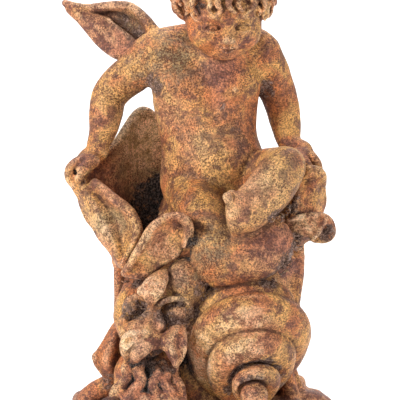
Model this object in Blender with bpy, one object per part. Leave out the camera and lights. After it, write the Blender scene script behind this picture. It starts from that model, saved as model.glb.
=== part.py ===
"""A cast iron garden statue, 0.6 m tall: a winged cherub seated in a wavy shell.

A sea creature's head, with a fin and strands of water, and a spiral snail shell carry the seat in front, on a
low rocky base. It is one casting, so it is one solid. Every form is a ball, a limb or a wall. A voxel remesh
fuses them into one skin, hollows and creases are carved out of it, and the underside is cut flat. Points are
in millimetres, with X to the cherub's left hand, Y to the back and Z up, from the middle of the underside.
"""

import math

import bmesh
import bpy
from mathutils import Euler, Matrix, Vector

MM = 0.001

BASE_HALF_WIDTH = 178
BASE_HALF_DEPTH = 168
BASE_CENTRE_Y = -5
BASE_SKIRT = 12
BASE_PROFILE = [(1.0, -BASE_SKIRT), (1.0, 14), (0.95, 22), (0.8, 27), (0.5, 30)]
BASE_SIDES = 48
STONES = 26

TRUNK_FLUTES = 15
SEAT_CENTRE = (8, 14)
SEAT_HALF_WIDTH = 116
SEAT_HALF_DEPTH = 94
SEAT_HEIGHT = 226
WALL = 5.5
RIM = 6.5

HEAD_CENTRE = (30, -38, 555)
HEAD_NOD = 24
HEAD_TURN = 7
SKULL = (52, 57, 44)
SKULL_MIDDLE = (0, 8, 6)
CURLS = 92
CURL_RADIUS = 8.5
CURL_RISE = 3

LIMB_SIDES = 16
VOXEL = 3.2
SMOOTH_PASSES = 4
TRIANGLE_SHARE = 0.0366


def clear_scene():
    for old in list(bpy.data.objects):
        bpy.data.objects.remove(old, do_unlink=True)


def smooth_path(points, steps=6):
    """Catmull-Rom through points of any number of columns."""
    columns = [Vector(p) for p in points]
    ends = [2 * columns[0] - columns[1]] + columns + [2 * columns[-1] - columns[-2]]
    path = []
    for a, b, c, d in zip(ends, ends[1:], ends[2:], ends[3:]):
        for i in range(steps):
            t = i / steps
            bend = (2 * a - 5 * b + 4 * c - d) * t**2 + (3 * b - a - 3 * c + d) * t**3
            path.append(0.5 * (2 * b + (c - a) * t + bend))
    return path + [columns[-1]]


def linked(name, mesh):
    obj = bpy.data.objects.new(name, mesh)
    bpy.context.scene.collection.objects.link(obj)
    return obj


class Clay:
    """Closed forms that overlap, in two meshes: those that are added and those that are carved away."""

    def __init__(self):
        self.added = bmesh.new()
        self.carved = bmesh.new()

    def ball(self, centre, radii, turn=(0, 0, 0), cut=False):
        """An ellipsoid. radii is one number or three; turn is in degrees about X, then Y, then Z."""
        radii = (radii,) * 3 if isinstance(radii, (int, float)) else radii
        spin = Euler([math.radians(angle) for angle in turn]).to_matrix().to_4x4()
        place = Matrix.Translation(Vector(centre)) @ spin @ Matrix.Diagonal((*radii, 1))
        mesh = self.carved if cut else self.added
        bmesh.ops.create_icosphere(mesh, subdivisions=3, radius=1, matrix=place)

    def limb(self, points, radii, cut=False, steps=6, flat=None):
        """A round-ended tube on a smooth path. flat is (share, way): its thickness along way as a share."""
        mesh = self.carved if cut else self.added
        radii = [radii] * len(points) if isinstance(radii, (int, float)) else radii
        path = smooth_path([(*p, r) for p, r in zip(points, radii)], steps)
        thin = Matrix.Scale(flat[0], 3, Vector(flat[1]).normalized()) if flat else Matrix.Identity(3)
        rings = []
        for i, point in enumerate(path):
            along = (path[min(i + 1, len(path) - 1)] - path[max(i - 1, 0)]).to_3d().normalized()
            turn = along.to_track_quat("Z", "Y")
            ring = []
            for k in range(LIMB_SIDES):
                angle = math.tau * k / LIMB_SIDES
                spoke = turn @ Vector((math.cos(angle), math.sin(angle), 0))
                ring.append(mesh.verts.new(point.to_3d() + thin @ (point[3] * spoke)))
            rings.append(ring)
        for near, far in zip(rings, rings[1:]):
            start = min(range(LIMB_SIDES), key=lambda k: (far[k].co - near[0].co).length)
            far[:] = far[start:] + far[:start]
            for k in range(LIMB_SIDES):
                mesh.faces.new((near[k], near[k - 1], far[k - 1], far[k]))
        mesh.faces.new(rings[0])
        mesh.faces.new(reversed(rings[-1]))
        for end in (path[0], path[-1]):
            place = Matrix.Translation(end.to_3d()) @ thin.to_4x4() @ Matrix.Scale(end[3], 4)
            bmesh.ops.create_icosphere(mesh, subdivisions=3, radius=1, matrix=place)

    def wall(self, rows, half=WALL, rim=0):
        """A curved wall through a net of points, rows from root to rim. rim is the radius of its bead."""
        net = [smooth_path(row, 5) for row in rows]
        net = list(zip(*[smooth_path(column, 4) for column in zip(*net)]))
        across = len(net[0])
        points = [tuple(p) for row in net for p in row]
        faces = [
            (i * across + j, (i + 1) * across + j, (i + 1) * across + j + 1, i * across + j + 1)
            for i in range(len(net) - 1)
            for j in range(across - 1)
        ]
        mesh = bpy.data.meshes.new("wall")
        mesh.from_pydata(points, [], faces)
        sheet = linked("wall", mesh)
        solid = sheet.modifiers.new("thickness", "SOLIDIFY")
        solid.thickness = 2 * half
        solid.offset = 0
        graph = bpy.context.evaluated_depsgraph_get()
        self.added.from_mesh(sheet.evaluated_get(graph).to_mesh())
        bpy.data.objects.remove(sheet)
        bpy.data.meshes.remove(mesh)
        if rim:
            self.limb(rows[-1], rim)


def base(clay):
    """An oval slab of rock with an uneven rim and stones round it. It starts below the floor's flat cut."""
    mesh = clay.added
    loops = []
    for share, height in BASE_PROFILE:
        loop = []
        for k in range(BASE_SIDES):
            angle = math.tau * k / BASE_SIDES
            rock = 1 + 0.018 * math.sin(5 * angle + 1) + 0.012 * math.sin(9 * angle)
            x = BASE_HALF_WIDTH * share * rock * math.cos(angle)
            y = BASE_CENTRE_Y + BASE_HALF_DEPTH * share * rock * math.sin(angle)
            loop.append(mesh.verts.new((x, y, height)))
        loops.append(loop)
    for low, high in zip(loops, loops[1:]):
        for k in range(BASE_SIDES):
            mesh.faces.new((low[k - 1], low[k], high[k], high[k - 1]))
    mesh.faces.new(reversed(loops[0]))
    mesh.faces.new(loops[-1])
    clay.limb([(-156, -46, 30), (-139, -54, 46), (-122, -58, 55)], [13, 13.5, 13.5])
    for k in range(STONES):
        angle = math.tau * k / STONES + 0.15 * math.sin(5 * k)
        share = 0.78 + 0.1 * math.sin(3 * k + 1)
        x = BASE_HALF_WIDTH * share * math.cos(angle)
        y = BASE_CENTRE_Y + BASE_HALF_DEPTH * share * math.sin(angle)
        size = (17 + 4 * math.sin(k), 15 + 3 * math.cos(2 * k), 11)
        tilt = (20 * math.sin(k), 15 * math.cos(k), 40 * k)
        clay.ball((x, y, 19 + 3 * math.sin(7 * k)), size, tilt)


def trunk(clay):
    """The mass under the seat, with ridges like falling water round its sides and back."""
    clay.limb([(-8, 30, 30), (-6, 32, 120), (0, 26, 180), (8, 22, 225)], [104, 94, 88, 90])
    for side in (-1, 1):
        clay.ball((11 + 60 * side, 24, 215), (73, 78, 50))
        clay.ball((12 + 62 * side, 22, 130), (66, 72, 84))
    clay.ball((14, 34, 246), (112, 82, 44))
    for k in range(TRUNK_FLUTES):
        start = math.radians(-22 + 224 * k / (TRUNK_FLUTES - 1))
        sway = 0.1 * math.sin(2.3 * k)
        points, radii = [], []
        for z, share in ((14, 1.06), (60, 0.98), (120, 0.95), (180, 0.94), (228, 1.0)):
            angle = start + sway * math.sin(z / 50 + k)
            points.append((6 + 116 * share * math.cos(angle), 26 + 90 * share * math.sin(angle), z))
            radii.append(10 + 2.5 * math.sin(1.7 * k + z / 30))
        clay.limb(points, radii)
    clay.limb([(-109, -24, 222), (-108, -22, 190), (-107, -26, 144), (-107, -30, 110)], [7, 8, 9, 9])
    clay.limb([(131, -24, 243), (132, -14, 220), (132, -8, 194), (128, -4, 160)], [8, 9, 9, 9])


def shell_wall(clay):
    """The back of the seat, from the left petal round to the right hand.

    Each rim point has its own bulge, how far the wall swells out half-way up. The wall's root is an oval.
    """
    rim = [
        ((-158, -26, 326), 18),
        ((-163, -12, 331), 16),
        ((-150, 12, 345), 10),
        ((-119, 34, 364), 8),
        ((-103, 52, 385), 8),
        ((-82, 72, 410), 12),
        ((-53, 88, 385), 14),
        ((-10, 104, 350), 16),
        ((62, 106, 330), 16),
        ((122, 78, 336), 10),
        ((152, 36, 338), 8),
        ((160, -4, 330), 8),
        ((161, -18, 315), 10),
    ]
    root, middle, top = [], [], []
    for point, bulge in rim:
        point = Vector(point)
        way = Vector((point.x - SEAT_CENTRE[0], point.y - SEAT_CENTRE[1], 0)).normalized()
        reach = Vector((SEAT_HALF_WIDTH * way.x, SEAT_HALF_DEPTH * way.y, SEAT_HEIGHT))
        foot = Vector((*SEAT_CENTRE, 0)) + reach
        root.append(foot)
        middle.append((foot + point) / 2 + bulge * way)
        top.append(point)
    clay.wall([root, middle, top], rim=RIM)


def left_petal(clay):
    """A broad leaf: it swells along its left edge, dips, and rises to a thick rim along its right edge."""
    outer = [
        (-164, -30, 317), (-151, -38, 296), (-140, -46, 275),
        (-129, -54, 255), (-115, -62, 240), (-103, -80, 225),
    ]
    swell = [
        (-155, -42, 320), (-140, -54, 300), (-129, -62, 280),
        (-119, -68, 260), (-111, -74, 244), (-101, -85, 227),
    ]
    dish = [
        (-146, -43, 321), (-124, -53, 304), (-108, -60, 285),
        (-100, -67, 265), (-100, -75, 246), (-99, -85, 227),
    ]
    rim = [
        (-138, -42, 325), (-113, -60, 309), (-91, -72, 291),
        (-81, -81, 272), (-85, -85, 252), (-97, -88, 228),
    ]
    clay.wall([outer, swell, dish, rim], rim=6)
    clay.ball((-105, -78, 281), (10, 7, 15), (0, 24, 0), cut=True)


def front_flap(clay):
    """A cupped leaf from a low left tip to a high top, with its right edge turned back."""
    low = [(-97, -92, 217), (-80, -96, 214), (-64, -98, 220), (-49, -98, 231), (-31, -96, 241)]
    cup = [(-94, -96, 222), (-76, -98, 229), (-60, -98, 240), (-44, -98, 249), (-26, -96, 252)]
    swell = [(-91, -100, 226), (-72, -103, 247), (-55, -103, 263), (-40, -103, 271), (-23, -101, 268)]
    edge = [(-90, -100, 228), (-72, -113, 260), (-61, -115, 279), (-43, -110, 290), (-26, -102, 286)]
    clay.wall([low, cup, swell, edge], rim=5)
    turned_edge = [(-36, -105, 289), (-25, -105, 288), (-20, -107, 278), (-21, -104, 260), (-27, -98, 246)]
    clay.limb(turned_edge, [6, 7, 7.5, 7, 6])


def right_petal(clay):
    """The band under the left hand, and the curl of the rim that the hand holds."""
    outer = [(159, -12, 330), (163, -14, 310), (162, -18, 292), (151, -28, 271), (128, -40, 246)]
    middle = [(146, -36, 336), (149, -42, 316), (146, -44, 294), (136, -50, 270), (129, -54, 244)]
    rim = [(130, -40, 342), (129, -50, 319), (125, -58, 298), (118, -62, 272), (115, -62, 246)]
    clay.wall([outer, middle, rim], 6)
    curl = [(130, -46, 327), (137, -50, 341), (148, -50, 345), (158, -44, 339), (161, -36, 325)]
    clay.limb(curl, [6, 8, 8.5, 8, 6])
    clay.ball((147, -44, 328), 11)


def right_lip(clay):
    """A thick leaf that sticks out to the right, with a rim along its top that curls over the end."""
    clay.limb([(111, -44, 250), (129, -46, 260), (153, -42, 265)], [14, 13, 11])
    face = [(110, -54, 256), (127, -62, 267), (144, -64, 273), (158, -60, 273), (167, -54, 267)]
    clay.limb(face, [13, 14.5, 15, 13, 10])
    clay.limb([(119, -50, 249), (138, -54, 260), (155, -52, 261)], [9, 9, 8])
    rim = [
        (106, -64, 270), (117, -70, 281), (134, -72, 287), (152, -70, 288), (166, -64, 283),
        (173, -58, 273), (174, -56, 259), (164, -58, 252), (150, -58, 252),
    ]
    clay.limb(rim, [3.5, 4, 4.5, 5, 5, 5, 4.5, 4, 3.5])
    clay.ball((168, -76, 263), (7, 9, 8), cut=True)


def body(clay):
    """The torso, neck and arms of a plump child leaning forward on both hands."""
    clay.ball((7, 12, 434), (70, 45, 62))
    clay.ball((12, 4, 376), (65, 49, 64))
    clay.ball((25, 12, 322), (79, 57, 56))
    clay.ball((27, -26, 352), (46, 31, 36))
    clay.limb([(-42, 14, 484), (12, 12, 494), (72, 26, 488)], [25, 28, 25])
    clay.limb([(-83, 14, 491), (-67, 14, 503), (-43, 12, 512), (-19, 8, 518)], [13, 17, 17, 15])
    clay.limb([(59, 10, 515), (76, 14, 512), (87, 18, 502)], [14, 15, 14])
    clay.limb([(24, 2, 480), (28, -8, 520)], 32)
    for side in (-1, 1):
        clay.ball((8 + 32 * side, -10, 453), (36, 21, 24))
        clay.ball((21 + 33 * side, 52, 294), (43, 38, 42))
        clay.ball((14 + 36 * side, 44, 462), (26, 14, 34))
    clay.limb([(14, 60, 470), (14, 56, 420), (16, 56, 360), (20, 68, 310)], [5, 6, 6, 5], cut=True)
    right_arm = [
        (-45, 6, 490), (-74, 14, 475), (-102, 20, 458), (-122, 22, 436),
        (-127, 12, 411), (-131, 2, 388), (-139, -8, 367),
    ]
    clay.limb(right_arm, [28, 27.5, 26, 24, 22.5, 18, 13.5])
    left_arm = [
        (83, 20, 490), (93, 26, 473), (103, 34, 448), (111, 36, 424),
        (116, 26, 400), (119, 14, 380), (125, 4, 363),
    ]
    clay.limb(left_arm, [26, 25.5, 24.5, 23.5, 21, 17, 13.5])


def hand(clay, wrist, palm, index, apart, thumb):
    """A hand closed over the rim: palm, thumb and four fingers side by side, the index finger in front."""
    index = [Vector(point) for point in index]
    apart = Vector(apart)
    clay.limb([wrist, palm], [13.5, 12.5])
    for k in (0, 3):
        clay.limb([palm, index[0] + k * apart], [12, 8.5])
    for k, size in enumerate((0.96, 1.0, 0.98, 0.86)):
        finger = [index[0] + k * apart]
        finger += [index[0] + k * apart + size * (point - index[0]) for point in index[1:]]
        clay.limb(finger, [size * radius for radius in (8.5, 8, 7.6, 7, 6)])
    clay.limb([palm, index[2] + 1.2 * apart, index[3] + 1.2 * apart], [12, 9, 6])
    clay.limb(thumb, [9.5, 9, 8, 6.5])


def hands(clay):
    hand(
        clay,
        wrist=(-135, -8, 365),
        palm=(-148, -10, 355),
        index=[(-153, -22, 354), (-162, -28, 352), (-171, -32, 344), (-173, -36, 333), (-167, -38, 323)],
        apart=(1, 10, -2),
        thumb=[(-142, -22, 353), (-151, -32, 346), (-158, -38, 338), (-161, -38, 327)],
    )
    clay.limb([(-154, -26, 348), (-161, -32, 340), (-166, -36, 328)], [8, 6, 6])
    hand(
        clay,
        wrist=(126, 2, 371),
        palm=(136, -6, 364),
        index=[(139, -20, 362), (148, -24, 357), (154, -27, 350), (156, -28, 340), (154, -30, 331)],
        apart=(-0.6, 10, -2.2),
        thumb=[(130, -20, 361), (135, -32, 354), (141, -38, 347), (147, -38, 339)],
    )


def legs(clay):
    """The left leg is raised with its foot turned up in front; the right one is folded under it."""
    clay.limb([(58, 5, 314), (86, -30, 335), (110, -70, 352)], [43, 35, 26])
    clay.limb([(107, -80, 351), (98, -90, 338), (79, -100, 315), (61, -108, 294)], [26, 30, 29, 21])
    clay.ball((110, -92, 360), (14, 11, 14))
    clay.limb([(47, -110, 277), (47, -117, 290), (47, -120, 306), (46, -121, 315)], [9, 14, 14.5, 12])
    clay.ball((61, -108, 306), (18, 14, 24))
    for k in range(5):
        across = k - 2
        root = (43 + 2.2 * across, -120 + 4.6 * across, 311)
        tip = (38 + 2 * across, -124 + 4.6 * across, 325 - 1.2 * abs(across - 0.5))
        clay.limb([root, tip], [5.2, 4.6 if k else 6])
    clay.limb([(-4, 0, 306), (3, -58, 290), (18, -90, 259)], [44, 35, 29])
    clay.limb([(19, -94, 242), (44, -94, 236), (72, -88, 240), (94, -76, 251)], [31, 34, 34, 28])
    clay.ball((12, -98, 232), (21, 20, 27))
    clay.ball((28, -96, 216), (22, 22, 20))
    clay.limb([(85, -86, 277), (99, -92, 262), (102, -86, 237)], [15, 21, 17], flat=(0.6, (0.35, -1, 0.1)))
    clay.limb([(36, -98, 257), (53, -98, 261), (71, -94, 269)], [11, 12, 10])


class Head:
    """Clay in the head's own directions: x to the child's left, y back and z up, from the skull's middle."""

    def __init__(self, clay):
        self.clay = clay
        self.turn = (HEAD_NOD, 0, HEAD_TURN)
        spin = Euler([math.radians(angle) for angle in self.turn]).to_matrix().to_4x4()
        self.place = Matrix.Translation(HEAD_CENTRE) @ spin

    def lump(self, centre, radii, cut=False):
        self.clay.ball(self.place @ Vector(centre), radii, self.turn, cut)

    def line(self, points, radii, cut=False):
        self.clay.limb([self.place @ Vector(point) for point in points], radii, cut, steps=3)


def face(head):
    """A plain child's face: a high forehead, full cheeks, round eyes, a short nose and a small mouth."""
    head.lump((0, -11, -16), (46, 43, 37))
    head.lump((0, -29, 16), (37, 24, 23))
    head.lump((0, -24, -46), (28, 23, 14))
    head.lump((0, -43, -42), (13, 10, 9))
    head.line([(0, -51, 1), (0, -54, -8), (0, -59, -17)], [5, 5, 6])
    head.line([(-9, -51, -32.5), (0, -55, -32), (9, -51, -32.5)], [2.5, 4.5, 2.5])
    for side in (-1, 1):
        head.lump((25 * side, -28, -25), (20, 21, 18))
        head.lump((18.5 * side, -60, -3), (12, 9, 6.5), cut=True)
        head.lump((18.5 * side, -41, -4.5), (12, 12, 11))
        head.line([(9 * side, -51, 10), (19 * side, -52, 13), (30 * side, -45, 9.5)], [3, 3.5, 3])


def hair(head):
    """Short curls, spaced evenly over the skull down to the brow and the nape."""
    golden = math.pi * (3 - math.sqrt(5))
    for side in (-1, 1):
        head.lump((53 * side, 6, 4), (11, 22, 22))
    for k in range(CURLS):
        height = 1 - 1.52 * (k + 0.5) / CURLS
        flat = math.sqrt(1 - height**2)
        way = Vector((flat * math.cos(k * golden), flat * math.sin(k * golden), height))
        over_face = way.y < 0.06 and way.z < 0.5 + 0.25 * way.y - 0.62 * abs(way.x) ** 1.7
        on_neck = way.z < -0.42 + 0.25 * way.y
        if over_face or on_neck:
            continue
        at_side = max(0, (abs(way.x) - 0.66) / 0.34) * (1 if way.z < 0.45 else 0.3)
        reach = (SKULL[0] + CURL_RISE + 10 * at_side, SKULL[1] + CURL_RISE, SKULL[2] + CURL_RISE)
        head.lump(Vector(reach) * way + Vector(SKULL_MIDDLE), CURL_RADIUS)


def head(clay):
    form = Head(clay)
    form.lump(SKULL_MIDDLE, SKULL)
    face(form)
    hair(form)


def right_wing(clay):
    """It stands out to the side: a thick leading edge, a hollow under it and a broad blade below."""
    lead = [(-186, 84, 559), (-155, 72, 550), (-125, 59, 552), (-95, 44, 551), (-82, 36, 541), (-60, 24, 513)]
    hollow = [
        (-180, 87, 555), (-152, 84, 546), (-124, 78, 543),
        (-97, 66, 534), (-85, 57, 523), (-62, 40, 502),
    ]
    edge = [(-182, 84, 557), (-150, 70, 542), (-120, 58, 533), (-94, 43, 516), (-82, 36, 507), (-71, 30, 497)]
    swell = [
        (-181, 84, 554), (-151, 66, 532), (-124, 51, 512),
        (-99, 40, 499), (-87, 34, 493), (-76, 30, 488),
    ]
    hem = [(-180, 84, 551), (-151, 70, 521), (-127, 57, 497), (-102, 44, 487), (-90, 38, 483), (-77, 32, 481)]
    clay.wall([hollow, lead])
    clay.limb(lead, [3, 5, 8, 10.5, 11, 11])
    clay.wall([hem, swell, edge])
    clay.wall([hem, hollow])


def left_wing(clay):
    """It is swept back behind the head."""
    lead = [(62, 46, 500), (70, 84, 536), (78, 112, 550), (85, 140, 555), (88, 172, 561)]
    hollow = [(50, 62, 496), (52, 92, 520), (60, 118, 534), (72, 142, 543), (87, 170, 559)]
    swell = [(58, 62, 480), (64, 88, 496), (72, 112, 508), (80, 138, 524), (88, 170, 556)]
    hem = [(54, 60, 466), (56, 84, 470), (62, 108, 484), (73, 134, 509), (88, 168, 553)]
    clay.wall([hem, swell, hollow, lead])
    clay.limb(lead, [12, 11, 9, 6.5, 3])


def sea_eyes(clay):
    """A round eye in a swollen ring on the right, and a deep, half-hidden one on the left."""
    clay.ball((-36, -92, 151), (30, 30, 26))
    clay.ball((-77, -112, 151), (30, 22, 22))
    clay.ball((-30, -130, 171), (14, 6, 12), cut=True)
    brow = [
        (-54, -118, 175), (-47, -124, 187), (-33, -126, 192),
        (-19, -124, 189), (-10, -119, 176), (-10, -114, 161),
    ]
    clay.limb(brow, [5, 6, 6, 6, 5.5, 5])
    clay.limb([(-42, -122, 155), (-32, -124, 151), (-19, -120, 153)], 3)
    clay.ball((-76, -126, 174), (15, 12, 17), cut=True)
    clay.limb([(-98, -98, 158), (-92, -108, 180), (-79, -114, 190), (-65, -117, 186)], 5)


def sea_snout(clay):
    """A bridge that runs down to a split upper lip of three folds, over an open mouth."""
    clay.limb([(-60, -112, 177), (-64, -126, 168), (-75, -138, 158), (-90, -142, 148)], [9, 11, 12, 10])
    clay.ball((-69, -128, 134), (26, 22, 20))
    clay.ball((-56, -134, 155), (11, 9, 9))
    over = [
        (-53, -145, 149), (-66, -150, 149), (-79, -152, 147),
        (-88, -153, 141), (-91, -150, 131), (-92, -147, 122),
    ]
    clay.limb(over, [5, 7, 11, 13, 10, 6])
    fold = [(-53, -146, 139), (-64, -154, 138), (-74, -158, 133), (-80, -155, 123), (-82, -149, 115)]
    clay.limb(fold, [5, 7.5, 9.5, 9, 5])
    clay.limb([(-57, -142, 139), (-60, -148, 129), (-67, -150, 122)], [8, 9, 5])
    leaf = [(-24, -132, 152), (-34, -148, 147), (-35, -155, 134), (-30, -148, 112)]
    clay.limb(leaf, [7, 15, 16, 4], flat=(0.45, (0.25, -1, 0.15)))
    clay.ball((-69, -92, 76), (44, 36, 46))
    clay.ball((-55, -150, 121), (14, 18, 8), cut=True)


def sea_strands(clay):
    """Wavy locks of water that run from the mouth to the base, and the foam where they land."""
    strands = [
        [(-87, -140, 116), (-92, -148, 106), (-91, -152, 95), (-102, -158, 84), (-111, -160, 75)],
        [(-73, -142, 112), (-78, -151, 103), (-74, -157, 91), (-83, -162, 80), (-87, -166, 69)],
        [(-60, -138, 105), (-54, -148, 97), (-60, -156, 86), (-55, -162, 76), (-60, -164, 66)],
        [(-48, -134, 107), (-43, -144, 98), (-45, -154, 87), (-36, -160, 77), (-38, -164, 66)],
        [(-33, -130, 103), (-34, -140, 93), (-27, -150, 83), (-24, -158, 67)],
        [(-82, -130, 100), (-85, -142, 88), (-93, -156, 71)],
        [(-68, -132, 96), (-68, -146, 81), (-71, -158, 67)],
    ]
    for points in strands:
        clay.limb(points, 7.5)
    foam = [(-100, -156, 78), (-87, -162, 73), (-68, -164, 71), (-50, -162, 72), (-33, -162, 69)]
    for k, place in enumerate(foam):
        clay.ball(place, (12, 10, 8), (0, 20 * (-1) ** k, 0))


def sea_head(clay):
    """The sea creature's head, with a tuft between its brows and a fin at its cheek."""
    clay.ball((-40, -40, 160), (68, 60, 74))
    clay.ball((-76, -66, 153), (38, 36, 44))
    clay.ball((-18, -92, 203), (28, 32, 34))
    sea_eyes(clay)
    tuft = [(-46, -108, 220), (-53, -122, 211), (-61, -128, 201), (-61, -126, 182)]
    clay.limb(tuft, [6, 13, 14, 3], flat=(0.45, (-0.25, -1, 0.2)))
    sea_snout(clay)
    sea_strands(clay)
    fin_root = [(-109, -40, 55), (-107, -38, 68), (-105, -36, 84), (-105, -34, 105), (-105, -34, 128)]
    fin_middle = [(-114, -62, 66), (-116, -72, 81), (-119, -76, 98), (-115, -72, 116), (-107, -60, 135)]
    fin_edge = [(-121, -62, 68), (-129, -66, 79), (-136, -66, 94), (-126, -58, 112), (-112, -46, 134)]
    clay.wall([fin_root, fin_middle, fin_edge], rim=5)
    clay.ball((-138, -66, 97), (5, 8, 6))


def snail_shell(clay):
    """A tube wound inwards on a helix that comes forward and down, with a knob at its tip.

    Each station is (turns, middle of the helix, radius of the turn, radius of the tube).
    """
    stations = [
        (-0.6, (57, -56, 134), 60, 29),
        (0.0, (61, -70, 132), 58, 29),
        (0.5, (61, -84, 126), 56, 28),
        (1.0, (60, -99, 116), 48, 25),
        (1.5, (58, -113, 102), 37.5, 21.5),
        (2.0, (63, -126, 90), 29, 16.5),
        (2.5, (66, -138, 82), 20.5, 11.5),
        (3.0, (70, -146, 78), 15, 9),
    ]
    stations = [Vector((turns, *middle, *radii)) for turns, middle, *radii in stations]
    middles = [Vector(station[1:4]) for station in stations]
    axis = (middles[6] - middles[2]).normalized()
    side = Vector((0, 0, 1)).cross(axis).normalized()
    up = axis.cross(side)
    steps_between = 12
    points, radii = [], []
    for a, b in zip(stations, stations[1:]):
        for k in range(steps_between):
            station = a.lerp(b, k / steps_between)
            angle = math.tau * station[0] - math.pi / 2
            lift = (1.7 if math.sin(angle) < 0 else 1.0) * math.sin(angle)
            points.append(Vector(station[1:4]) + station[4] * (math.cos(angle) * side + lift * up))
            radii.append(station[5])
    clay.limb(points, radii, steps=1)
    clay.limb([middles[0], middles[2], middles[4], middles[6]], [46, 38, 22, 10])
    clay.ball((68, -158, 73), (17.5, 17, 17.5))


def hollows(clay):
    """The deep hollow beside the right hip, and the larger creases where two forms meet."""
    beside_hip = [(-68, 50, 304), (-66, 47, 264), (-68, 10, 252), (-68, -40, 260), (-68, -72, 266)]
    clay.limb(beside_hip, [19, 21, 26, 20, 8], cut=True)
    clay.ball((-66, 10, 290), (16, 30, 18), cut=True)
    for points, radius in (
        ([(-9, -104, 286), (-8, -104, 267), (-13, -100, 248)], 3.5),
        ([(-14, -118, 242), (0, -122, 225), (15, -120, 205)], 3),
        ([(-43, -124, 220), (-43, -126, 204), (-53, -128, 188)], 3),
    ):
        clay.limb(points, radius, cut=True)


def cast_iron():
    material = bpy.data.materials.new("rusted_cast_iron")
    material.use_nodes = True
    shader = material.node_tree.nodes["Principled BSDF"]
    shader.inputs["Base Color"].default_value = (0.42, 0.19, 0.08, 1)
    shader.inputs["Roughness"].default_value = 0.85
    shader.inputs["Metallic"].default_value = 0.0
    return material


def solid_of(name, shapes):
    """An object in metres from closed forms in millimetres, fused into one skin by a voxel remesh."""
    bmesh.ops.recalc_face_normals(shapes, faces=shapes.faces)
    bmesh.ops.scale(shapes, vec=(MM, MM, MM), verts=shapes.verts)
    mesh = bpy.data.meshes.new(name)
    shapes.to_mesh(mesh)
    shapes.free()
    solid = linked(name, mesh)
    fused(solid, "fuse")
    return solid


def fused(solid, name):
    fuse = solid.modifiers.new(name, "REMESH")
    fuse.mode = "VOXEL"
    fuse.voxel_size = VOXEL * MM
    fuse.use_smooth_shade = True


def cut_by(solid, name, cutter):
    cutter.hide_render = True
    cutter.display_type = "WIRE"
    cut = solid.modifiers.new(name, "BOOLEAN")
    cut.operation = "DIFFERENCE"
    cut.object = cutter


def floor_box():
    """A box round whatever lies below the floor, so that the statue stands flat."""
    mesh = bpy.data.meshes.new("floor_cutter")
    box = bmesh.new()
    size = Vector((0.6, 0.6, 0.1))
    place = Matrix.Translation((0, 0, -size.z / 2)) @ Matrix.Diagonal((*size, 1))
    bmesh.ops.create_cube(box, size=1, matrix=place)
    box.to_mesh(mesh)
    box.free()
    return linked("floor_cutter", mesh)


def statue():
    clay = Clay()
    seat = (shell_wall, left_petal, front_flap, right_petal, right_lip)
    child = (body, hands, legs, head, right_wing, left_wing)
    for form in (base, trunk, *seat, *child, sea_head, snail_shell, hollows):
        form(clay)
    figure = solid_of("cherub_statue", clay.added)
    figure.data.materials.append(cast_iron())
    cut_by(figure, "carve", solid_of("carving", clay.carved))
    fused(figure, "fuse again")
    soften = figure.modifiers.new("soften", "SMOOTH")
    soften.factor = 0.5
    soften.iterations = SMOOTH_PASSES
    thin = figure.modifiers.new("thin", "DECIMATE")
    thin.ratio = TRIANGLE_SHARE
    cut_by(figure, "stand", floor_box())


clear_scene()
statue()
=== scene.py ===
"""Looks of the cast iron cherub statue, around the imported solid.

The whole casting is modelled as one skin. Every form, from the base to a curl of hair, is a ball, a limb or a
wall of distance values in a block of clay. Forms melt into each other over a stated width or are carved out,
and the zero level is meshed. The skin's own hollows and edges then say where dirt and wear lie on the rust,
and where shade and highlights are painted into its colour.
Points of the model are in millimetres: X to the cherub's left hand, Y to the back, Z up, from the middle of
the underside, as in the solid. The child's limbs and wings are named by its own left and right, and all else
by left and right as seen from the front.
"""

import math

import bpy
import numpy as np
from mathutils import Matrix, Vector


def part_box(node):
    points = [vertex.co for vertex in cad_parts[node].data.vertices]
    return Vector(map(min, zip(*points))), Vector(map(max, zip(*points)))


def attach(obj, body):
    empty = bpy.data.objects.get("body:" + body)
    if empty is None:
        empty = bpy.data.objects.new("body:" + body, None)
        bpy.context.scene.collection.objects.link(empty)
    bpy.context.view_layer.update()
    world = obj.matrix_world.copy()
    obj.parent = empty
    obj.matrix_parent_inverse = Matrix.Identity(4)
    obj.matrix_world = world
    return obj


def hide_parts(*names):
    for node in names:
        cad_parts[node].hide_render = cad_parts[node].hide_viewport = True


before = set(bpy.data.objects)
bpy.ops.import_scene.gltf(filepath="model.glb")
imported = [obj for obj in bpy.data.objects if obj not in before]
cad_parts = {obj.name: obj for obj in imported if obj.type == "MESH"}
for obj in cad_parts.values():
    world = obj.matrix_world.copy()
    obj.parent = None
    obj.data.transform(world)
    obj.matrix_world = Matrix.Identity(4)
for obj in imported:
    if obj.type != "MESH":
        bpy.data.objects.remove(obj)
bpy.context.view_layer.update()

NODE = "cherub_statue"
MM = 0.001
FAR = 1000.0
SAMPLE_LIMIT = 60
CORNERS = [(i, j, k) for i in (0, 1) for j in (0, 1) for k in (0, 1)]

CLAY_STEP = 1.3
SKIN_TRIANGLES = 190_000
BROAD_LUMPS = 0.45
FINE_LUMPS = 0.22
NEAR = (3, 6, 10)
WIDE = (18, 32, 50)
FINE_EDGE = 3
BROAD_EDGE = 8

BASE_HALF_WIDTH = 178
BASE_HALF_DEPTH = 168
BASE_CENTRE_Y = -5
BASE_TOP = 36

SEAT_CENTRE = (8, 14)
SEAT_HALF_WIDTH = 116
SEAT_HALF_DEPTH = 94
SEAT_HEIGHT = 226
WALL = 5.5
THIN_WALL = 5
RIM = 6.5

TRUNK_CENTRE = (6, 26)
TRUNK_HALF_WIDTH = 116
TRUNK_HALF_DEPTH = 90

HEAD_CENTRE = (30, -38, 555)
HEAD_NOD = 24
HEAD_TURN = 7
SKULL = (52, 57, 44)
SKULL_MIDDLE = (0, 8, 6)
CURLS = 92


# The clay --------------------------------------------------


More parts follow.
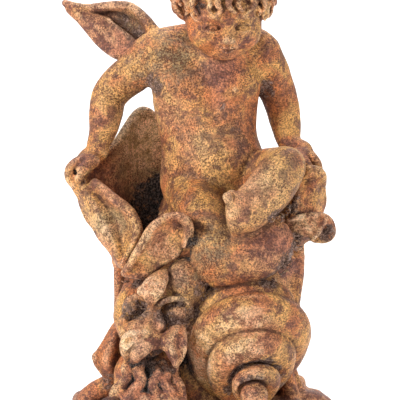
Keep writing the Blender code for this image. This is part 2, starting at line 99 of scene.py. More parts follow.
def unit(way):
    way = np.asarray(way, float)
    return way / np.linalg.norm(way)


def turned(about_x=0.0, about_y=0.0, about_z=0.0):
    """A rotation matrix: degrees about X, then Y, then Z."""
    angles = (math.radians(angle) for angle in (about_x, about_y, about_z))
    (cx, sx), (cy, sy), (cz, sz) = ((math.cos(angle), math.sin(angle)) for angle in angles)
    x = np.array([[1, 0, 0], [0, cx, -sx], [0, sx, cx]])
    y = np.array([[cy, 0, sy], [0, 1, 0], [-sy, 0, cy]])
    z = np.array([[cz, -sz, 0], [sz, cz, 0], [0, 0, 1]])
    return z @ y @ x


def smooth_path(points, steps):
    """Catmull-Rom through points of any number of columns."""
    p = np.asarray(points, float)
    p = np.vstack([2 * p[0] - p[1], p, 2 * p[-1] - p[-2]])
    t = (np.arange(steps) / steps)[:, None]
    pieces = [
        0.5 * (2 * b + (c - a) * t + (2 * a - 5 * b + 4 * c - d) * t**2 + (3 * b - a - 3 * c + d) * t**3)
        for a, b, c, d in zip(p, p[1:], p[2:], p[3:])
    ]
    return np.vstack(pieces + [p[-2:-1]])


def span(first, last, start=(0, 0, 0)):
    """The slices from first to last, counted from start."""
    return tuple(slice(a - c, b - c) for a, b, c in zip(first, last, start))


def sphere(middle, radius):
    """The distance function of a ball."""

    def distance(x, y, z):
        return np.sqrt((x - middle[0]) ** 2 + (y - middle[1]) ** 2 + (z - middle[2]) ** 2) - radius

    return distance


def tube(a, b, r, s, flat):
    """The distance function of a tube from a to b, of radius r at a and s at b. flat is as in Clay.limb."""
    way = b - a

    def distance(x, y, z):
        x, y, z = x - a[0], y - a[1], z - a[2]
        t = np.clip((x * way[0] + y * way[1] + z * way[2]) / max(way @ way, 1e-9), 0, 1)
        x, y, z = x - t * way[0], y - t * way[1], z - t * way[2]
        radius = r + t * (s - r)
        if flat is None:
            return np.sqrt(x * x + y * y + z * z) - radius
        n = unit(flat[1])
        along = x * n[0] + y * n[1] + z * n[2]
        wide = np.maximum(x * x + y * y + z * z - along * along, 0)
        thin = flat[0] * radius
        k0 = np.sqrt(wide / radius**2 + (along / thin) ** 2)
        k1 = np.sqrt(wide / radius**4 + (along / thin**2) ** 2)
        return k0 * (k0 - 1) / np.maximum(k1, 1e-6)

    return distance


class Clay:
    """A block of distance values on a grid, below zero inside the form.

    reach is how far outside a form the values hold.
    """

    def __init__(self, low, high, step, reach=0.0):
        self.step = float(step)
        self.reach = reach
        self.low = np.floor(np.array(low, float) / step) * step
        self.count = np.ceil((np.array(high, float) - self.low) / step).astype(int) + 1
        self.value = np.full(self.count, FAR, np.float32)

    def part(self, low, high, reach=0.0):
        """An empty block on the same grid, for forms that melt into each other before they are added."""
        first, last = self.window(np.array(low, float), np.array(high, float))
        inset = 1e-6
        low = self.low + first * self.step + inset
        high = self.low + (last - 1) * self.step - inset
        return Clay(low, high, self.step, reach)

    def window(self, low, high):
        first = np.floor((low - self.low) / self.step + 1e-6).astype(int)
        last = np.ceil((high - self.low) / self.step - 1e-6).astype(int) + 1
        return np.clip(first, 0, self.count), np.clip(last, 0, self.count)

    def axes(self, first, last):
        steps = (np.arange(first[i], last[i]) for i in range(3))
        x, y, z = ((low + self.step * step).astype(np.float32) for low, step in zip(self.low, steps))
        return x[:, None, None], y[None, :, None], z[None, None, :]

    def meet(self, first, last, new, melt, cut=False):
        """Joins a new distance to the form, or cuts it away, with a fillet about as wide as melt."""
        place = span(first, last)
        old = self.value[place]
        if cut:
            new = -new
        both = np.maximum(old, new) if cut else np.minimum(old, new)
        if melt > 0:
            near = np.maximum(melt - np.abs(old - new), 0)
            fillet = near * near / (4 * melt)
            both = both + fillet if cut else both - fillet
        self.value[place] = both

    def join(self, points, reach, pieces, melt, cut=False):
        """Adds small forms as one, in a box round all points. Each is (low, high, distance function)."""
        first, last = self.window(points.min(axis=0) - reach, points.max(axis=0) + reach)
        new = np.full(last - first, FAR, np.float32)
        for low, high, distance in pieces:
            low, high = self.window(low, high)
            if (high > low).all():
                place = span(low, high, first)
                new[place] = np.minimum(new[place], distance(*self.axes(low, high)))
        self.meet(first, last, new, melt, cut)

    def shape(self, distance, low, high, melt=0.0, cut=False):
        pad = max(melt, self.reach) + 2 * self.step
        first, last = self.window(np.asarray(low, float) - pad, np.asarray(high, float) + pad)
        if (last > first).all():
            self.meet(first, last, distance(*self.axes(first, last)), melt, cut)

    def ball(self, centre, radii, melt=0.0, turn=None, cut=False):
        """An ellipsoid. radii is one number or three, and turn is a rotation matrix."""
        radii = np.array((radii,) * 3 if np.isscalar(radii) else radii, float)
        turn = np.eye(3) if turn is None else turn
        centre = np.asarray(centre, float)
        reach = np.sqrt(((turn * radii) ** 2).sum(axis=1))

        def distance(x, y, z):
            x, y, z = x - centre[0], y - centre[1], z - centre[2]
            own = [turn[0, i] * x + turn[1, i] * y + turn[2, i] * z for i in range(3)]
            k0 = np.sqrt(sum((a / r) ** 2 for a, r in zip(own, radii)))
            k1 = np.sqrt(sum((a / r**2) ** 2 for a, r in zip(own, radii)))
            return np.where(k1 > 1e-6, k0 * (k0 - 1) / np.maximum(k1, 1e-6), -radii.min())

        self.shape(distance, centre - reach, centre + reach, melt, cut)

    def limb(self, points, radii, melt=0.0, cut=False, steps=6, flat=None):
        """A round-ended tube on a smooth path. flat is (share, way): its thickness along way as a share."""
        radii = [radii] * len(points) if np.isscalar(radii) else radii
        path = smooth_path(np.column_stack([np.asarray(points, float), radii]), steps)
        points, radii = path[:, :3], np.maximum(path[:, 3], 0.3)
        pad = max(melt, self.reach) + 2 * self.step
        pieces = []
        for a, b, r, s in zip(points, points[1:], radii, radii[1:]):
            grow = max(r, s) + pad
            pieces.append((np.minimum(a, b) - grow, np.maximum(a, b) + grow, tube(a, b, r, s, flat)))
        self.join(points, radii.max() + pad, pieces, melt, cut)

    def wall(self, rows, half=WALL, rim=None, melt=0.0):
        """A curved wall through a net of points, rows from root to rim. rim is the radius of its bead."""
        net = np.array([smooth_path(row, 8) for row in rows])
        net = np.array([smooth_path(net[:, j], 8) for j in range(net.shape[1])])
        space = max(half * 0.45, self.step * 0.7)
        lengths = [np.linalg.norm(np.diff(net, axis=i), axis=2).sum(axis=i).max() for i in (0, 1)]
        i, j = (np.linspace(0, n - 1, max(int(length / space), 4)) for n, length in zip(net.shape, lengths))
        net = np.array([[np.interp(j, np.arange(net.shape[1]), row[:, c]) for c in range(3)] for row in net])
        rows_at = np.arange(len(net))
        net = np.array([[np.interp(i, rows_at, net[:, c, k]) for k in range(len(j))] for c in range(3)])
        points = net.reshape(3, -1).T
        pad = half + max(melt, self.reach) + 2 * self.step
        pieces = [(point - pad, point + pad, sphere(point, half)) for point in points]
        self.join(points, pad, pieces, melt)
        if rim:
            self.limb(rows[-1], rim, melt=3)

    def add(self, other, melt):
        first = np.round((other.low - self.low) / self.step).astype(int)
        self.meet(first, first + other.count, other.value, melt)

    def sample(self, points):
        """The distance values at any points, straight-line between the grid's own."""
        place = np.clip((points - self.low) / self.step, 0, self.count - 1.001)
        cell = place.astype(int)
        share = place - cell
        total = np.zeros(len(points), np.float32)
        for corner in CORNERS:
            value = np.minimum(self.value[tuple((cell + corner).T)], SAMPLE_LIMIT)
            total += value * np.abs(1 - np.array(corner) - share).prod(axis=1)
        return total

    def surface(self):
        """The form's skin by surface nets: points and four-sided faces."""
        inside = self.value < 0
        cells = np.array(inside.shape) - 1
        full = np.zeros(cells, np.int8)
        for corner in CORNERS:
            full += inside[span(corner, cells + corner)]
        where = np.argwhere((full > 0) & (full < 8))
        number = np.full(cells, -1, np.int32)
        number[tuple(where.T)] = np.arange(len(where))
        at = {c: self.value[tuple((where + c).T)] for c in CORNERS}
        total = np.zeros((len(where), 3), np.float32)
        crossings = np.zeros(len(where), np.float32)
        for a in CORNERS:
            for axis in (n for n in range(3) if not a[n]):
                b = tuple(a[n] + (n == axis) for n in range(3))
                cross = (at[a] < 0) != (at[b] < 0)
                share = np.where(cross, at[a] / np.where(cross, at[a] - at[b], 1), 0)
                for n in range(3):
                    total[:, n] += cross * (a[n] + (share if n == axis else 0))
                crossings += cross
        points = (where + total / crossings[:, None]) * self.step + self.low
        faces = []
        for axis, step in enumerate(np.eye(3, dtype=int)):
            u, v = (axis + 1) % 3, (axis + 2) % 3
            a, b = inside[span(1 - step, cells)], inside[span((1, 1, 1), cells + step)]
            for leaving, mask in ((True, a & ~b), (False, ~a & b)):
                base = np.argwhere(mask) + 1 - step
                ring = []
                for du, dv in ((1, 1), (0, 1), (0, 0), (1, 0)):
                    cell = base.copy()
                    cell[:, u] -= du
                    cell[:, v] -= dv
                    ring.append(number[tuple(cell.T)])
                ring = np.column_stack(ring)
                faces.append(ring if leaving else ring[:, ::-1])
        return points, np.vstack(faces)


# The forms -------------------------------------------------


def rocky_base(clay):
    """An oval slab with a broken rim, ridges over its top and stones set round it."""

    def slab(x, y, z):
        across = np.sqrt((x / BASE_HALF_WIDTH) ** 2 + ((y - BASE_CENTRE_Y) / BASE_HALF_DEPTH) ** 2)
        angle = np.arctan2(y, x)
        rim = 1 + 0.018 * np.sin(5 * angle + 1) + 0.012 * np.sin(9 * angle) + 0.008 * np.sin(17 * angle)
        rim = rim + 0.014 * np.abs(np.sin(7 * angle + 0.5))
        side = (across / rim - 1) * BASE_HALF_DEPTH
        ridges = np.abs(np.sin(x / 17 + 0.8 * np.sin(y / 23) + y / 41))
        ridges = ridges + 0.6 * np.abs(np.sin(y / 13 - x / 37 + 1))
        swells = 3 * np.sin(x / 29 + 1) * np.cos(y / 31)
        top = z - BASE_TOP + 15 * np.clip(across, 0, 1.2) ** 5 + 5 * ridges - swells
        round_edge = 9
        near = np.maximum(round_edge - np.abs(side - top), 0)
        return np.maximum(side, top) + near * near / (4 * round_edge)

    clay.shape(slab, (-192, -182, -4), (192, 182, 48))
    clay.limb([(-156, -46, 32), (-139, -54, 47), (-123, -58, 56)], [13, 13.5, 13.5], 9)
    for points in (
        [(-156, -64, 43), (-139, -72, 52), (-116, -78, 55)],
        [(-146, -70, 40), (-129, -78, 48), (-111, -82, 50)],
    ):
        clay.limb(points, [1, 2, 1], 4, cut=True)
    stones = 26
    for k in range(stones):
        angle = math.tau * k / stones + 0.15 * math.sin(5 * k)
        share = 0.78 + 0.1 * math.sin(3 * k + 1)
        x = BASE_HALF_WIDTH * share * math.cos(angle)
        y = BASE_CENTRE_Y + BASE_HALF_DEPTH * share * math.sin(angle)
        size = (17 + 5 * math.sin(k), 14 + 4 * math.cos(2 * k), 11)
        tilt = turned(20 * math.sin(k), 15 * math.cos(k), 40 * k)
        clay.ball((x, y, 20 + 4 * math.sin(7 * k)), size, 5, tilt)


def trunk(clay):
    """The mass under the seat, with ridges like falling water round its sides and back."""
    mass = clay.part((-175, -120, -4), (175, 160, 310), reach=26)
    mass.limb([(-8, 30, 10), (-6, 32, 120), (0, 26, 180), (8, 22, 225)], [100, 90, 86, 90])
    for side in (-1, 1):
        mass.ball((11 + 60 * side, 24, 215), (73, 78, 50), 20)
        mass.ball((12 + 62 * side, 22, 130), (66, 72, 84), 26)
    mass.ball((14, 34, 246), (112, 82, 44), 16)
    ridges, first_ridge, arc = 15, -22, 224
    for k in range(ridges):
        start = math.radians(first_ridge + arc * k / (ridges - 1))
        sway = 0.1 * math.sin(2.3 * k)
        points, radii = [], []
        for z, share in ((6, 1.18), (60, 1.02), (120, 0.97), (180, 0.95), (228, 1.0)):
            angle = start + sway * math.sin(z / 50 + k)
            x = TRUNK_CENTRE[0] + TRUNK_HALF_WIDTH * share * math.cos(angle)
            y = TRUNK_CENTRE[1] + TRUNK_HALF_DEPTH * share * math.sin(angle)
            points.append((x, y, z))
            radii.append(10 + 2.5 * math.sin(1.7 * k + z / 30))
        mass.limb(points, radii, 7)
    mass.limb(
        [(-109, -24, 222), (-108, -22, 202), (-108, -22, 178), (-107, -26, 144), (-107, -30, 110)],
        [7, 8, 8, 9, 9],
        6,
    )
    mass.limb([(131, -24, 243), (132, -14, 220), (132, -8, 194), (128, -4, 160)], [8, 9, 9, 9], 8)
    clay.add(mass, 8)


def shell_wall(mass):
    """The back of the seat, from the left petal round to the right one, with flutes on its outside."""
    rim = [
        ((-158, -26, 326), 18),
        ((-163, -12, 331), 16),
        ((-150, 12, 345), 10),
        ((-119, 34, 364), 8),
        ((-103, 52, 385), 8),
        ((-93, 64, 400), 10),
        ((-82, 72, 410), 12),
        ((-70, 80, 406), 13),
        ((-53, 88, 385), 14),
        ((-10, 104, 350), 16),
        ((62, 106, 330), 16),
        ((122, 78, 336), 10),
        ((152, 36, 338), 8),
        ((160, -4, 330), 8),
        ((161, -18, 315), 10),
    ]
    root, middle, top = [], [], []
    for point, bulge in rim:
        point = np.array(point, float)
        way = unit((point[0] - SEAT_CENTRE[0], point[1] - SEAT_CENTRE[1], 0))
        foot_x = SEAT_CENTRE[0] + SEAT_HALF_WIDTH * way[0]
        foot_y = SEAT_CENTRE[1] + SEAT_HALF_DEPTH * way[1]
        foot = np.array((foot_x, foot_y, SEAT_HEIGHT))
        root.append(foot)
        middle.append((foot + point) / 2 + bulge * way)
        top.append(point)
    mass.wall([root, middle, top], rim=RIM)
    root, middle, top = (smooth_path(row, 4) for row in (root, middle, top))
    plain_start, plain_end, spacing, depth = 8, 4, 3, 8
    for k in range(plain_start, len(root) - plain_end, spacing):
        way = depth * unit((middle[k][0] - SEAT_CENTRE[0], middle[k][1] - SEAT_CENTRE[1], 0))
        high = 0.25 * middle[k] + 0.75 * top[k]
        mass.limb([root[k] + 0.7 * way, middle[k] + way, high + way], [3.5, 4, 1], 6, cut=True)


def left_petal(mass):
    """A broad leaf: it swells along its left edge, dips, and rises to a thick rim along its right edge."""
    outer = [
        (-164, -30, 317), (-151, -38, 296), (-140, -46, 275), (-129, -54, 255), (-115, -62, 240),
        (-103, -80, 225),
    ]
    swell = [
        (-155, -42, 320), (-140, -56, 301), (-129, -64, 281), (-119, -70, 261), (-110, -76, 245),
        (-101, -87, 227),
    ]
    dish = [
        (-145, -42, 321), (-125, -52, 304), (-110, -57, 285), (-102, -63, 265), (-100, -72, 245),
        (-99, -86, 227),
    ]
    rim = [
        (-138, -44, 325), (-113, -66, 310), (-90, -78, 292), (-81, -87, 273), (-85, -89, 252),
        (-97, -90, 229),
    ]
    mass.wall([outer, swell, dish, rim], rim=7, melt=3)


def front_flap(mass):
    """A cupped leaf from a low left tip to a high top, with its right edge turned back."""
    low = [(-97, -92, 217), (-80, -96, 214), (-64, -98, 220), (-49, -98, 231), (-31, -96, 241)]
    cup = [(-94, -96, 222), (-76, -98, 229), (-60, -98, 240), (-44, -98, 249), (-26, -96, 252)]
    swell = [(-91, -100, 226), (-72, -103, 247), (-55, -103, 263), (-40, -103, 271), (-23, -101, 268)]
    edge = [(-90, -100, 228), (-72, -113, 260), (-61, -115, 279), (-43, -110, 290), (-26, -102, 286)]
    mass.wall([low, cup, swell, edge], rim=5, melt=2)
    turned_edge = [(-42, -111, 292), (-29, -113, 294), (-18, -115, 288), (-14, -113, 274), (-17, -106, 254)]
    mass.limb(turned_edge, [4, 6, 7, 7, 5], 7)


def right_petal(mass):
    """The band under the left hand, and the curl of the rim that the hand holds."""
    outer = [(159, -12, 330), (163, -14, 310), (162, -18, 292), (151, -28, 271), (128, -40, 246)]
    middle = [(146, -36, 336), (149, -42, 316), (146, -44, 294), (136, -50, 270), (129, -54, 244)]
    rim = [(130, -40, 342), (129, -50, 319), (125, -58, 298), (118, -62, 272), (115, -62, 246)]
    mass.wall([outer, middle, rim], 6, melt=3)
    mass.limb(
        [(130, -46, 327), (137, -50, 339), (148, -50, 343), (158, -44, 337), (161, -36, 324)],
        [6, 8, 8.5, 8, 6],
        3,
    )
    mass.ball((147, -42, 328), 11, 4)


def right_lip(mass):
    """A leaf that sticks out to the right: a rim along its top that curls over the end, and a full face."""
    mass.limb([(111, -44, 250), (129, -46, 260), (153, -42, 265)], [14, 13, 11], 6)
    face = [(110, -54, 256), (127, -62, 267), (144, -64, 273), (158, -60, 273), (167, -54, 267)]
    mass.limb(face, [13, 14.5, 15, 13, 10], 6)
    mass.limb([(119, -50, 249), (138, -54, 260), (155, -52, 261)], [9, 9, 8], 8)
    rim = [
        (106, -64, 270), (117, -70, 281), (134, -72, 287), (152, -70, 288), (166, -64, 283),
        (173, -58, 273), (174, -56, 259), (164, -58, 252), (150, -58, 252),
    ]
    mass.limb(rim, [3, 3.5, 4, 4.5, 4.5, 4, 3.8, 3.6, 3], 4)
    mass.ball((164, -74, 267), (7.5, 15, 9), 2.5, cut=True)
    mass.limb([(162, -70, 283), (156, -77, 271), (146, -72, 256)], [4, 3.4, 3], 3)


def seat(clay):
    mass = clay.part((-200, -150, 180), (200, 170, 480), reach=10)
    for form in (shell_wall, left_petal, front_flap, right_petal, right_lip):
        form(mass)
    clay.add(mass, 4)


def body(clay):
    """The torso, neck and arms of a plump child leaning forward on both hands."""
    mass = clay.part((-200, -150, 210), (200, 150, 600), reach=30)
    mass.ball((7, 12, 434), (70, 45, 62))
    mass.ball((12, 4, 376), (63, 47, 60), 30)
    mass.ball((25, 12, 322), (79, 56, 56), 28)
    mass.ball((27, -26, 352), (44, 30, 34), 24)
    mass.limb([(-42, 14, 484), (12, 12, 494), (72, 26, 488)], [25, 28, 25], 24)
    mass.limb([(-83, 14, 491), (-67, 14, 503), (-43, 12, 512), (-19, 8, 518)], [13, 17, 17, 15], 14)
    mass.limb([(59, 10, 515), (76, 14, 512), (87, 18, 502)], [14, 15, 14], 12)
    mass.ball((-24, -12, 452), (36, 20, 24), 28)
    mass.ball((40, -8, 454), (34, 20, 24), 28)
    for side in (-1, 1):
        mass.ball((21 + 33 * side, 52, 294), (43, 38, 42), 12)
        mass.ball((14 + 36 * side, 44, 462), (26, 14, 34), 18)
        mass.ball((13 + 32 * side, -32, 448), 2.4, 6)
        collar_bone = [(18 + 10 * side, -22, 488), (18 + 36 * side, -12, 498), (18 + 58 * side, 8, 498)]
        mass.limb(collar_bone, [4, 5, 5], 12)
    spine = [(14, 60, 470), (14, 56, 420), (16, 56, 360), (20, 68, 310)]
    mass.limb(spine, [5, 6, 6, 5], 12, cut=True)
    breastbone = [(8, -38, 470), (14, -42, 440), (18, -48, 410)]
    mass.limb(breastbone, [2, 3, 2], 18, cut=True)
    belly_fold = [(-34, -40, 404), (-6, -49, 397), (26, -53, 394), (58, -44, 399), (72, -22, 404)]
    mass.limb(belly_fold, [1, 2, 2, 2, 1], 14, cut=True)
    navel = (28, -57, 368)
    mass.ball(navel, (3, 4, 3.5), 6, cut=True)
    neck = [(24, 2, 480), (28, -8, 520)]
    mass.limb(neck, 32, 10)
    right_arm = [
        (-45, 6, 490), (-74, 14, 475), (-102, 20, 458), (-122, 22, 436), (-127, 12, 411), (-131, 2, 388),
        (-139, -8, 367),
    ]
    mass.limb(right_arm, [28, 27.5, 26, 24, 22.5, 18, 13.5], 16)
    left_arm = [
        (83, 20, 490), (93, 26, 473), (103, 34, 448), (111, 36, 424), (116, 26, 400), (119, 14, 380),
        (125, 4, 363),
    ]
    mass.limb(left_arm, [26, 25.5, 24.5, 23.5, 21, 17, 13.5], 14)
    mass.limb([(-67, -50, 449), (-72, 80, 439)], 4, 5, cut=True)
    mass.limb([(-70, -50, 440), (-75, 80, 430)], 7, 5, cut=True)
    clay.add(mass, 3)


def hand(clay, wrist, palm, index, apart, thumb):
    """A hand closed over the rim: palm, thumb and four fingers side by side, the index finger in front."""
    index, apart = np.array(index, float), np.array(apart, float)
    mass = clay.part(np.array(palm) - 66, np.array(palm) + 66, reach=6)
    mass.limb([wrist, palm], [13.5, 12.5])
    for k in (0, 3):
        mass.limb([palm, index[0] + k * apart], [12, 8.5], 6)
    for k, size in enumerate((0.96, 1.0, 0.98, 0.86)):
        finger = index + k * apart
        finger[1:] += (size - 1) * (finger[1:] - finger[0])
        mass.limb(finger, size * np.array((8.5, 8, 7.6, 7, 6)), 1.2)
    mass.limb([palm, index[2] + 1.2 * apart, index[3] + 1.2 * apart], [12, 9, 6], 4)
    mass.limb(thumb, [9.5, 9, 8, 6.5], 2.5)
    clay.add(mass, 1.5)


def hands(clay):
    hand(
        clay,
        wrist=(-135, -8, 365),
        palm=(-148, -10, 355),
        index=[(-153, -22, 354), (-162, -28, 352), (-171, -32, 344), (-173, -36, 333), (-167, -38, 323)],
        apart=(1, 10, -2),
        thumb=[(-142, -22, 353), (-151, -32, 346), (-158, -38, 338), (-161, -38, 327)],
    )
    clay.limb([(-154, -26, 348), (-161, -32, 340), (-166, -36, 328)], [8, 6, 6], 2)
    clay.ball((-164, -42, 340), (3, 9, 3.6), 1, cut=True)
    hand(
        clay,
        wrist=(126, 2, 371),
        palm=(136, -6, 364),
        index=[(139, -20, 362), (148, -24, 357), (154, -27, 350), (156, -28, 340), (154, -30, 331)],
        apart=(-0.6, 10, -2.2),
        thumb=[(130, -20, 361), (135, -32, 354), (141, -38, 347), (147, -38, 339)],
    )


def legs(clay):
    """The left leg is raised with its foot turned up in front; the right one is folded under it."""
    mass = clay.part((-90, -185, 160), (200, 90, 400), reach=14)
    mass.limb([(58, 5, 314), (86, -30, 335), (110, -70, 352)], [43, 35, 26], 8)
    mass.limb([(107, -80, 351), (98, -90, 338), (79, -100, 315), (61, -108, 294)], [26, 30, 29, 21], 8)
    mass.ball((110, -92, 360), (14, 11, 14), 14)
    mass.limb([(47, -110, 277), (47, -117, 290), (47, -120, 306), (46, -121, 315)], [9, 14, 14.5, 12], 8)
    mass.ball((61, -108, 306), (18, 14, 24), 12)
    for k in range(5):
        across = k - 2
        root = np.array((43 + 2.2 * across, -120 + 4.6 * across, 311))
        tip = np.array((38 + 2 * across, -124 + 4.6 * across, 325 - 1.2 * abs(across - 0.5)))
        mass.limb([root, tip], [5.2, 4.6 if k else 6], 1.2)
    clay.add(mass, 2.5)
    mass = clay.part((-90, -185, 150), (200, 90, 360), reach=12)
    mass.limb([(-4, 0, 306), (3, -58, 290), (18, -90, 259)], [44, 35, 29], 10)
    mass.limb([(19, -94, 242), (44, -94, 236), (72, -88, 240), (94, -76, 251)], [31, 34, 34, 28], 8)
    mass.ball((12, -98, 232), (21, 20, 27), 10)
    mass.ball((28, -96, 216), (22, 22, 20), 10)
    folded_foot = [(85, -86, 277), (99, -92, 262), (102, -86, 237)]
    mass.limb(folded_foot, [15, 21, 17], 3, flat=(0.6, (0.35, -1, 0.1)))
    knee_crease = [(-5, -100, 279), (15, -112, 277), (33, -112, 277)]
    mass.limb(knee_crease, [1.5, 2, 1.5], 12, cut=True)
    mass.limb([(36, -98, 257), (53, -98, 261), (71, -94, 269)], [11, 12, 10], 10)
    clay.add(mass, 7)


class Head:
    """Clay in the head's own directions: x to the child's left, y back, z up, from the skull's middle."""

    def __init__(self, clay):
        self.clay = clay
        self.turn = turned(HEAD_NOD, 0, HEAD_TURN)

    def at(self, point):
        return np.array(HEAD_CENTRE) + self.turn @ np.array(point, float)

    def lump(self, x, y, z, radii, melt, cut=False):
        self.clay.ball(self.at((x, y, z)), radii, melt, self.turn, cut)

    def line(self, points, radii, melt, cut=False):
        self.clay.limb([self.at(point) for point in points], radii, melt, cut, steps=4)


def face(head):
    """A plain child's face: a high forehead, wide-set eyes, full cheeks, a short nose and a small mouth."""
    head.lump(0, -11, -16, (46, 42, 36), 18)
    head.lump(0, -30, 16, (36, 22, 22), 16)
    head.lump(0, -44, -42, (12, 9, 8), 10)
    head.lump(0, -24, -47, (27, 22, 12), 10)
    for s in (-1, 1):
        head.lump(26 * s, -28, -25, (19, 20, 17), 14)
        head.lump(18.5 * s, -60.5, -3, (13, 11, 7.5), 7, cut=True)
        eye = np.array((18.5 * s, -40.5, -4.5))
        head.lump(*eye, (12.5, 12.3, 11.5), 5)
        slit = []
        for around, rise in ((-52, -9), (-26, -1), (0, 1), (26, -2), (54, -12)):
            around, rise = math.radians(around * s), math.radians(rise)
            level = math.cos(rise)
            way = (math.sin(around) * level, -math.cos(around) * level, math.sin(rise))
            slit.append(eye + 12.4 * np.array(way))
        head.line(slit, [1.0, 3.9, 4.8, 4.0, 1.0], 0.6, cut=True)
        head.lump(*eye, (10.1, 10.1, 9.6), 0.4)
        head.lump(18.5 * s, -51.8, -5.5, (2.7, 2.7, 2.7), 0.8, cut=True)
        fold = [point + np.array((0, -0.6, 6.6)) for point in slit]
        head.line(fold[1:4], [1.0, 1.5, 1.1], 1.8, cut=True)
        head.line([(9 * s, -52.5, 10), (19 * s, -53, 13), (30 * s, -46, 9.5)], [2.4, 3.2, 2.2], 9)
        head.lump(5.6 * s, -56, -20.5, (3.6, 4.4, 3.4), 3)
        head.lump(15 * s, -50, -31.4, (1.4, 2.4, 1.6), 4, cut=True)
    head.line([(0, -51.5, 1), (0, -54, -8), (0, -58, -16)], [4.4, 4.4, 5.4], 8)
    head.lump(0, -60.5, -17.8, (5.6, 5.6, 5), 2.5)
    head.lump(0, -56.8, -22.5, (4, 3.4, 3.6), 3)
    head.lump(0, -50.5, -29, (14, 7, 8), 8)
    head.line([(0, -58.4, -25), (0, -57.6, -27.5)], [0.5, 0.7], 2.5, cut=True)
    upper_lip = [(-11, -51.5, -31.2), (-5, -57, -29.2), (0, -57.4, -30), (5, -57, -29.2), (11, -51.5, -31.2)]
    head.line(upper_lip, [1.3, 3.0, 2.6, 3.0, 1.3], 1.8)
    head.line([(-9.5, -52, -33.2), (0, -57, -35), (9.5, -52, -33.2)], [1.5, 3.9, 1.5], 1.8)
    mouth = [
        (-10.5, -53.2, -32.6), (-5, -58.6, -32.2), (0, -59.4, -32.6), (5, -58.6, -32.2),
        (10.5, -53.2, -32.6),
    ]
    head.line(mouth, [0.9, 1.7, 1.7, 1.7, 0.9], 0.8, cut=True)
    head.line([(-8, -55.5, -40), (0, -57.4, -40.4), (8, -55.5, -40)], 2.2, 4, cut=True)


def hair(head):
    """Loose curls: each one a tube that winds inwards and outwards, spaced evenly over the skull."""
    rng = np.random.default_rng(7)
    golden = math.pi * (3 - math.sqrt(5))
    for s in (-1, 1):
        head.lump(53 * s, 6, 4, (11, 22, 22), 6)
    reach_down, scatter, winding = 1.52, 0.045, 5.6
    for k in range(CURLS):
        height = 1 - reach_down * (k + 0.5) / CURLS
        flat = math.sqrt(1 - height**2)
        way = np.array((flat * math.cos(k * golden), flat * math.sin(k * golden), height))
        way = unit(way + rng.normal(0, scatter, 3))
        over_face = way[1] < 0.06 and way[2] < 0.5 + 0.25 * way[1] - 0.62 * abs(way[0]) ** 1.7
        on_neck = way[2] < -0.42 + 0.25 * way[1]
        if over_face or on_neck:
            continue
        at_side = max(0, (abs(way[0]) - 0.66) / 0.34) * (1 if way[2] < 0.45 else 0.3)
        middle = way * (SKULL[0] + 1 + 10 * at_side, SKULL[1] + 1, SKULL[2] + 1) + SKULL_MIDDLE
        normal = unit(way / SKULL)
        across = unit(np.cross(normal, rng.normal(0, 1, 3)))
        along = np.cross(normal, across)
        size = rng.uniform(7.5, 10.5)
        spin = rng.choice((-1, 1))
        points, radii = [], []
        for t in np.linspace(0, 1, 7):
            angle = spin * t * winding
            spoke = math.cos(angle) * across + math.sin(angle) * along
            points.append(middle + size * (1 - 0.62 * t) * spoke + (1 + 6 * t) * normal)
            radii.append(5.4 - 2.4 * t)
        head.line(points, radii, 0.8)
    locks = [
        [(-29, -66, 568), (-31, -63, 560), (-27, -60, 551), (-21, -52, 542)],
        [(-20, -76, 568), (-15, -80, 560), (-14, -73, 552), (-18, -62, 546)],
        [(-8, -86, 568), (-10, -85, 560), (-6, -80, 551), (1, -83, 546)],
        [(11, -97, 570), (14, -99, 561), (11, -97, 554), (15, -96, 548)],
        [(24, -100, 570), (22, -101, 560), (26, -99, 553), (21, -97, 546)],
        [(39, -100, 570), (35, -101, 561), (39, -99, 554), (45, -95, 549)],
        [(50, -94, 570), (47, -96, 561), (50, -94, 554), (56, -90, 550)],
        [(64, -86, 568), (68, -86, 560), (64, -87, 554), (59, -91, 549)],
        [(78, -74, 567), (82, -72, 558), (79, -66, 549), (83, -58, 540)],
    ]
    for lock in locks:
        head.clay.limb(lock, [4.8, 4.2, 3.4, 2.2], 0.6)
    head.clay.ball((3, -90, 560), (5, 6, 7), 2, cut=True)
    head.clay.ball((56, -93, 564), (4, 5, 6), 2, cut=True)


def head(clay):
    mass = clay.part((-85, -145, 450), (150, 70, 626), reach=18)
    form = Head(mass)
    form.lump(*SKULL_MIDDLE, SKULL, 0)
    face(form)
    hair(form)
    clay.add(mass, 1.5)


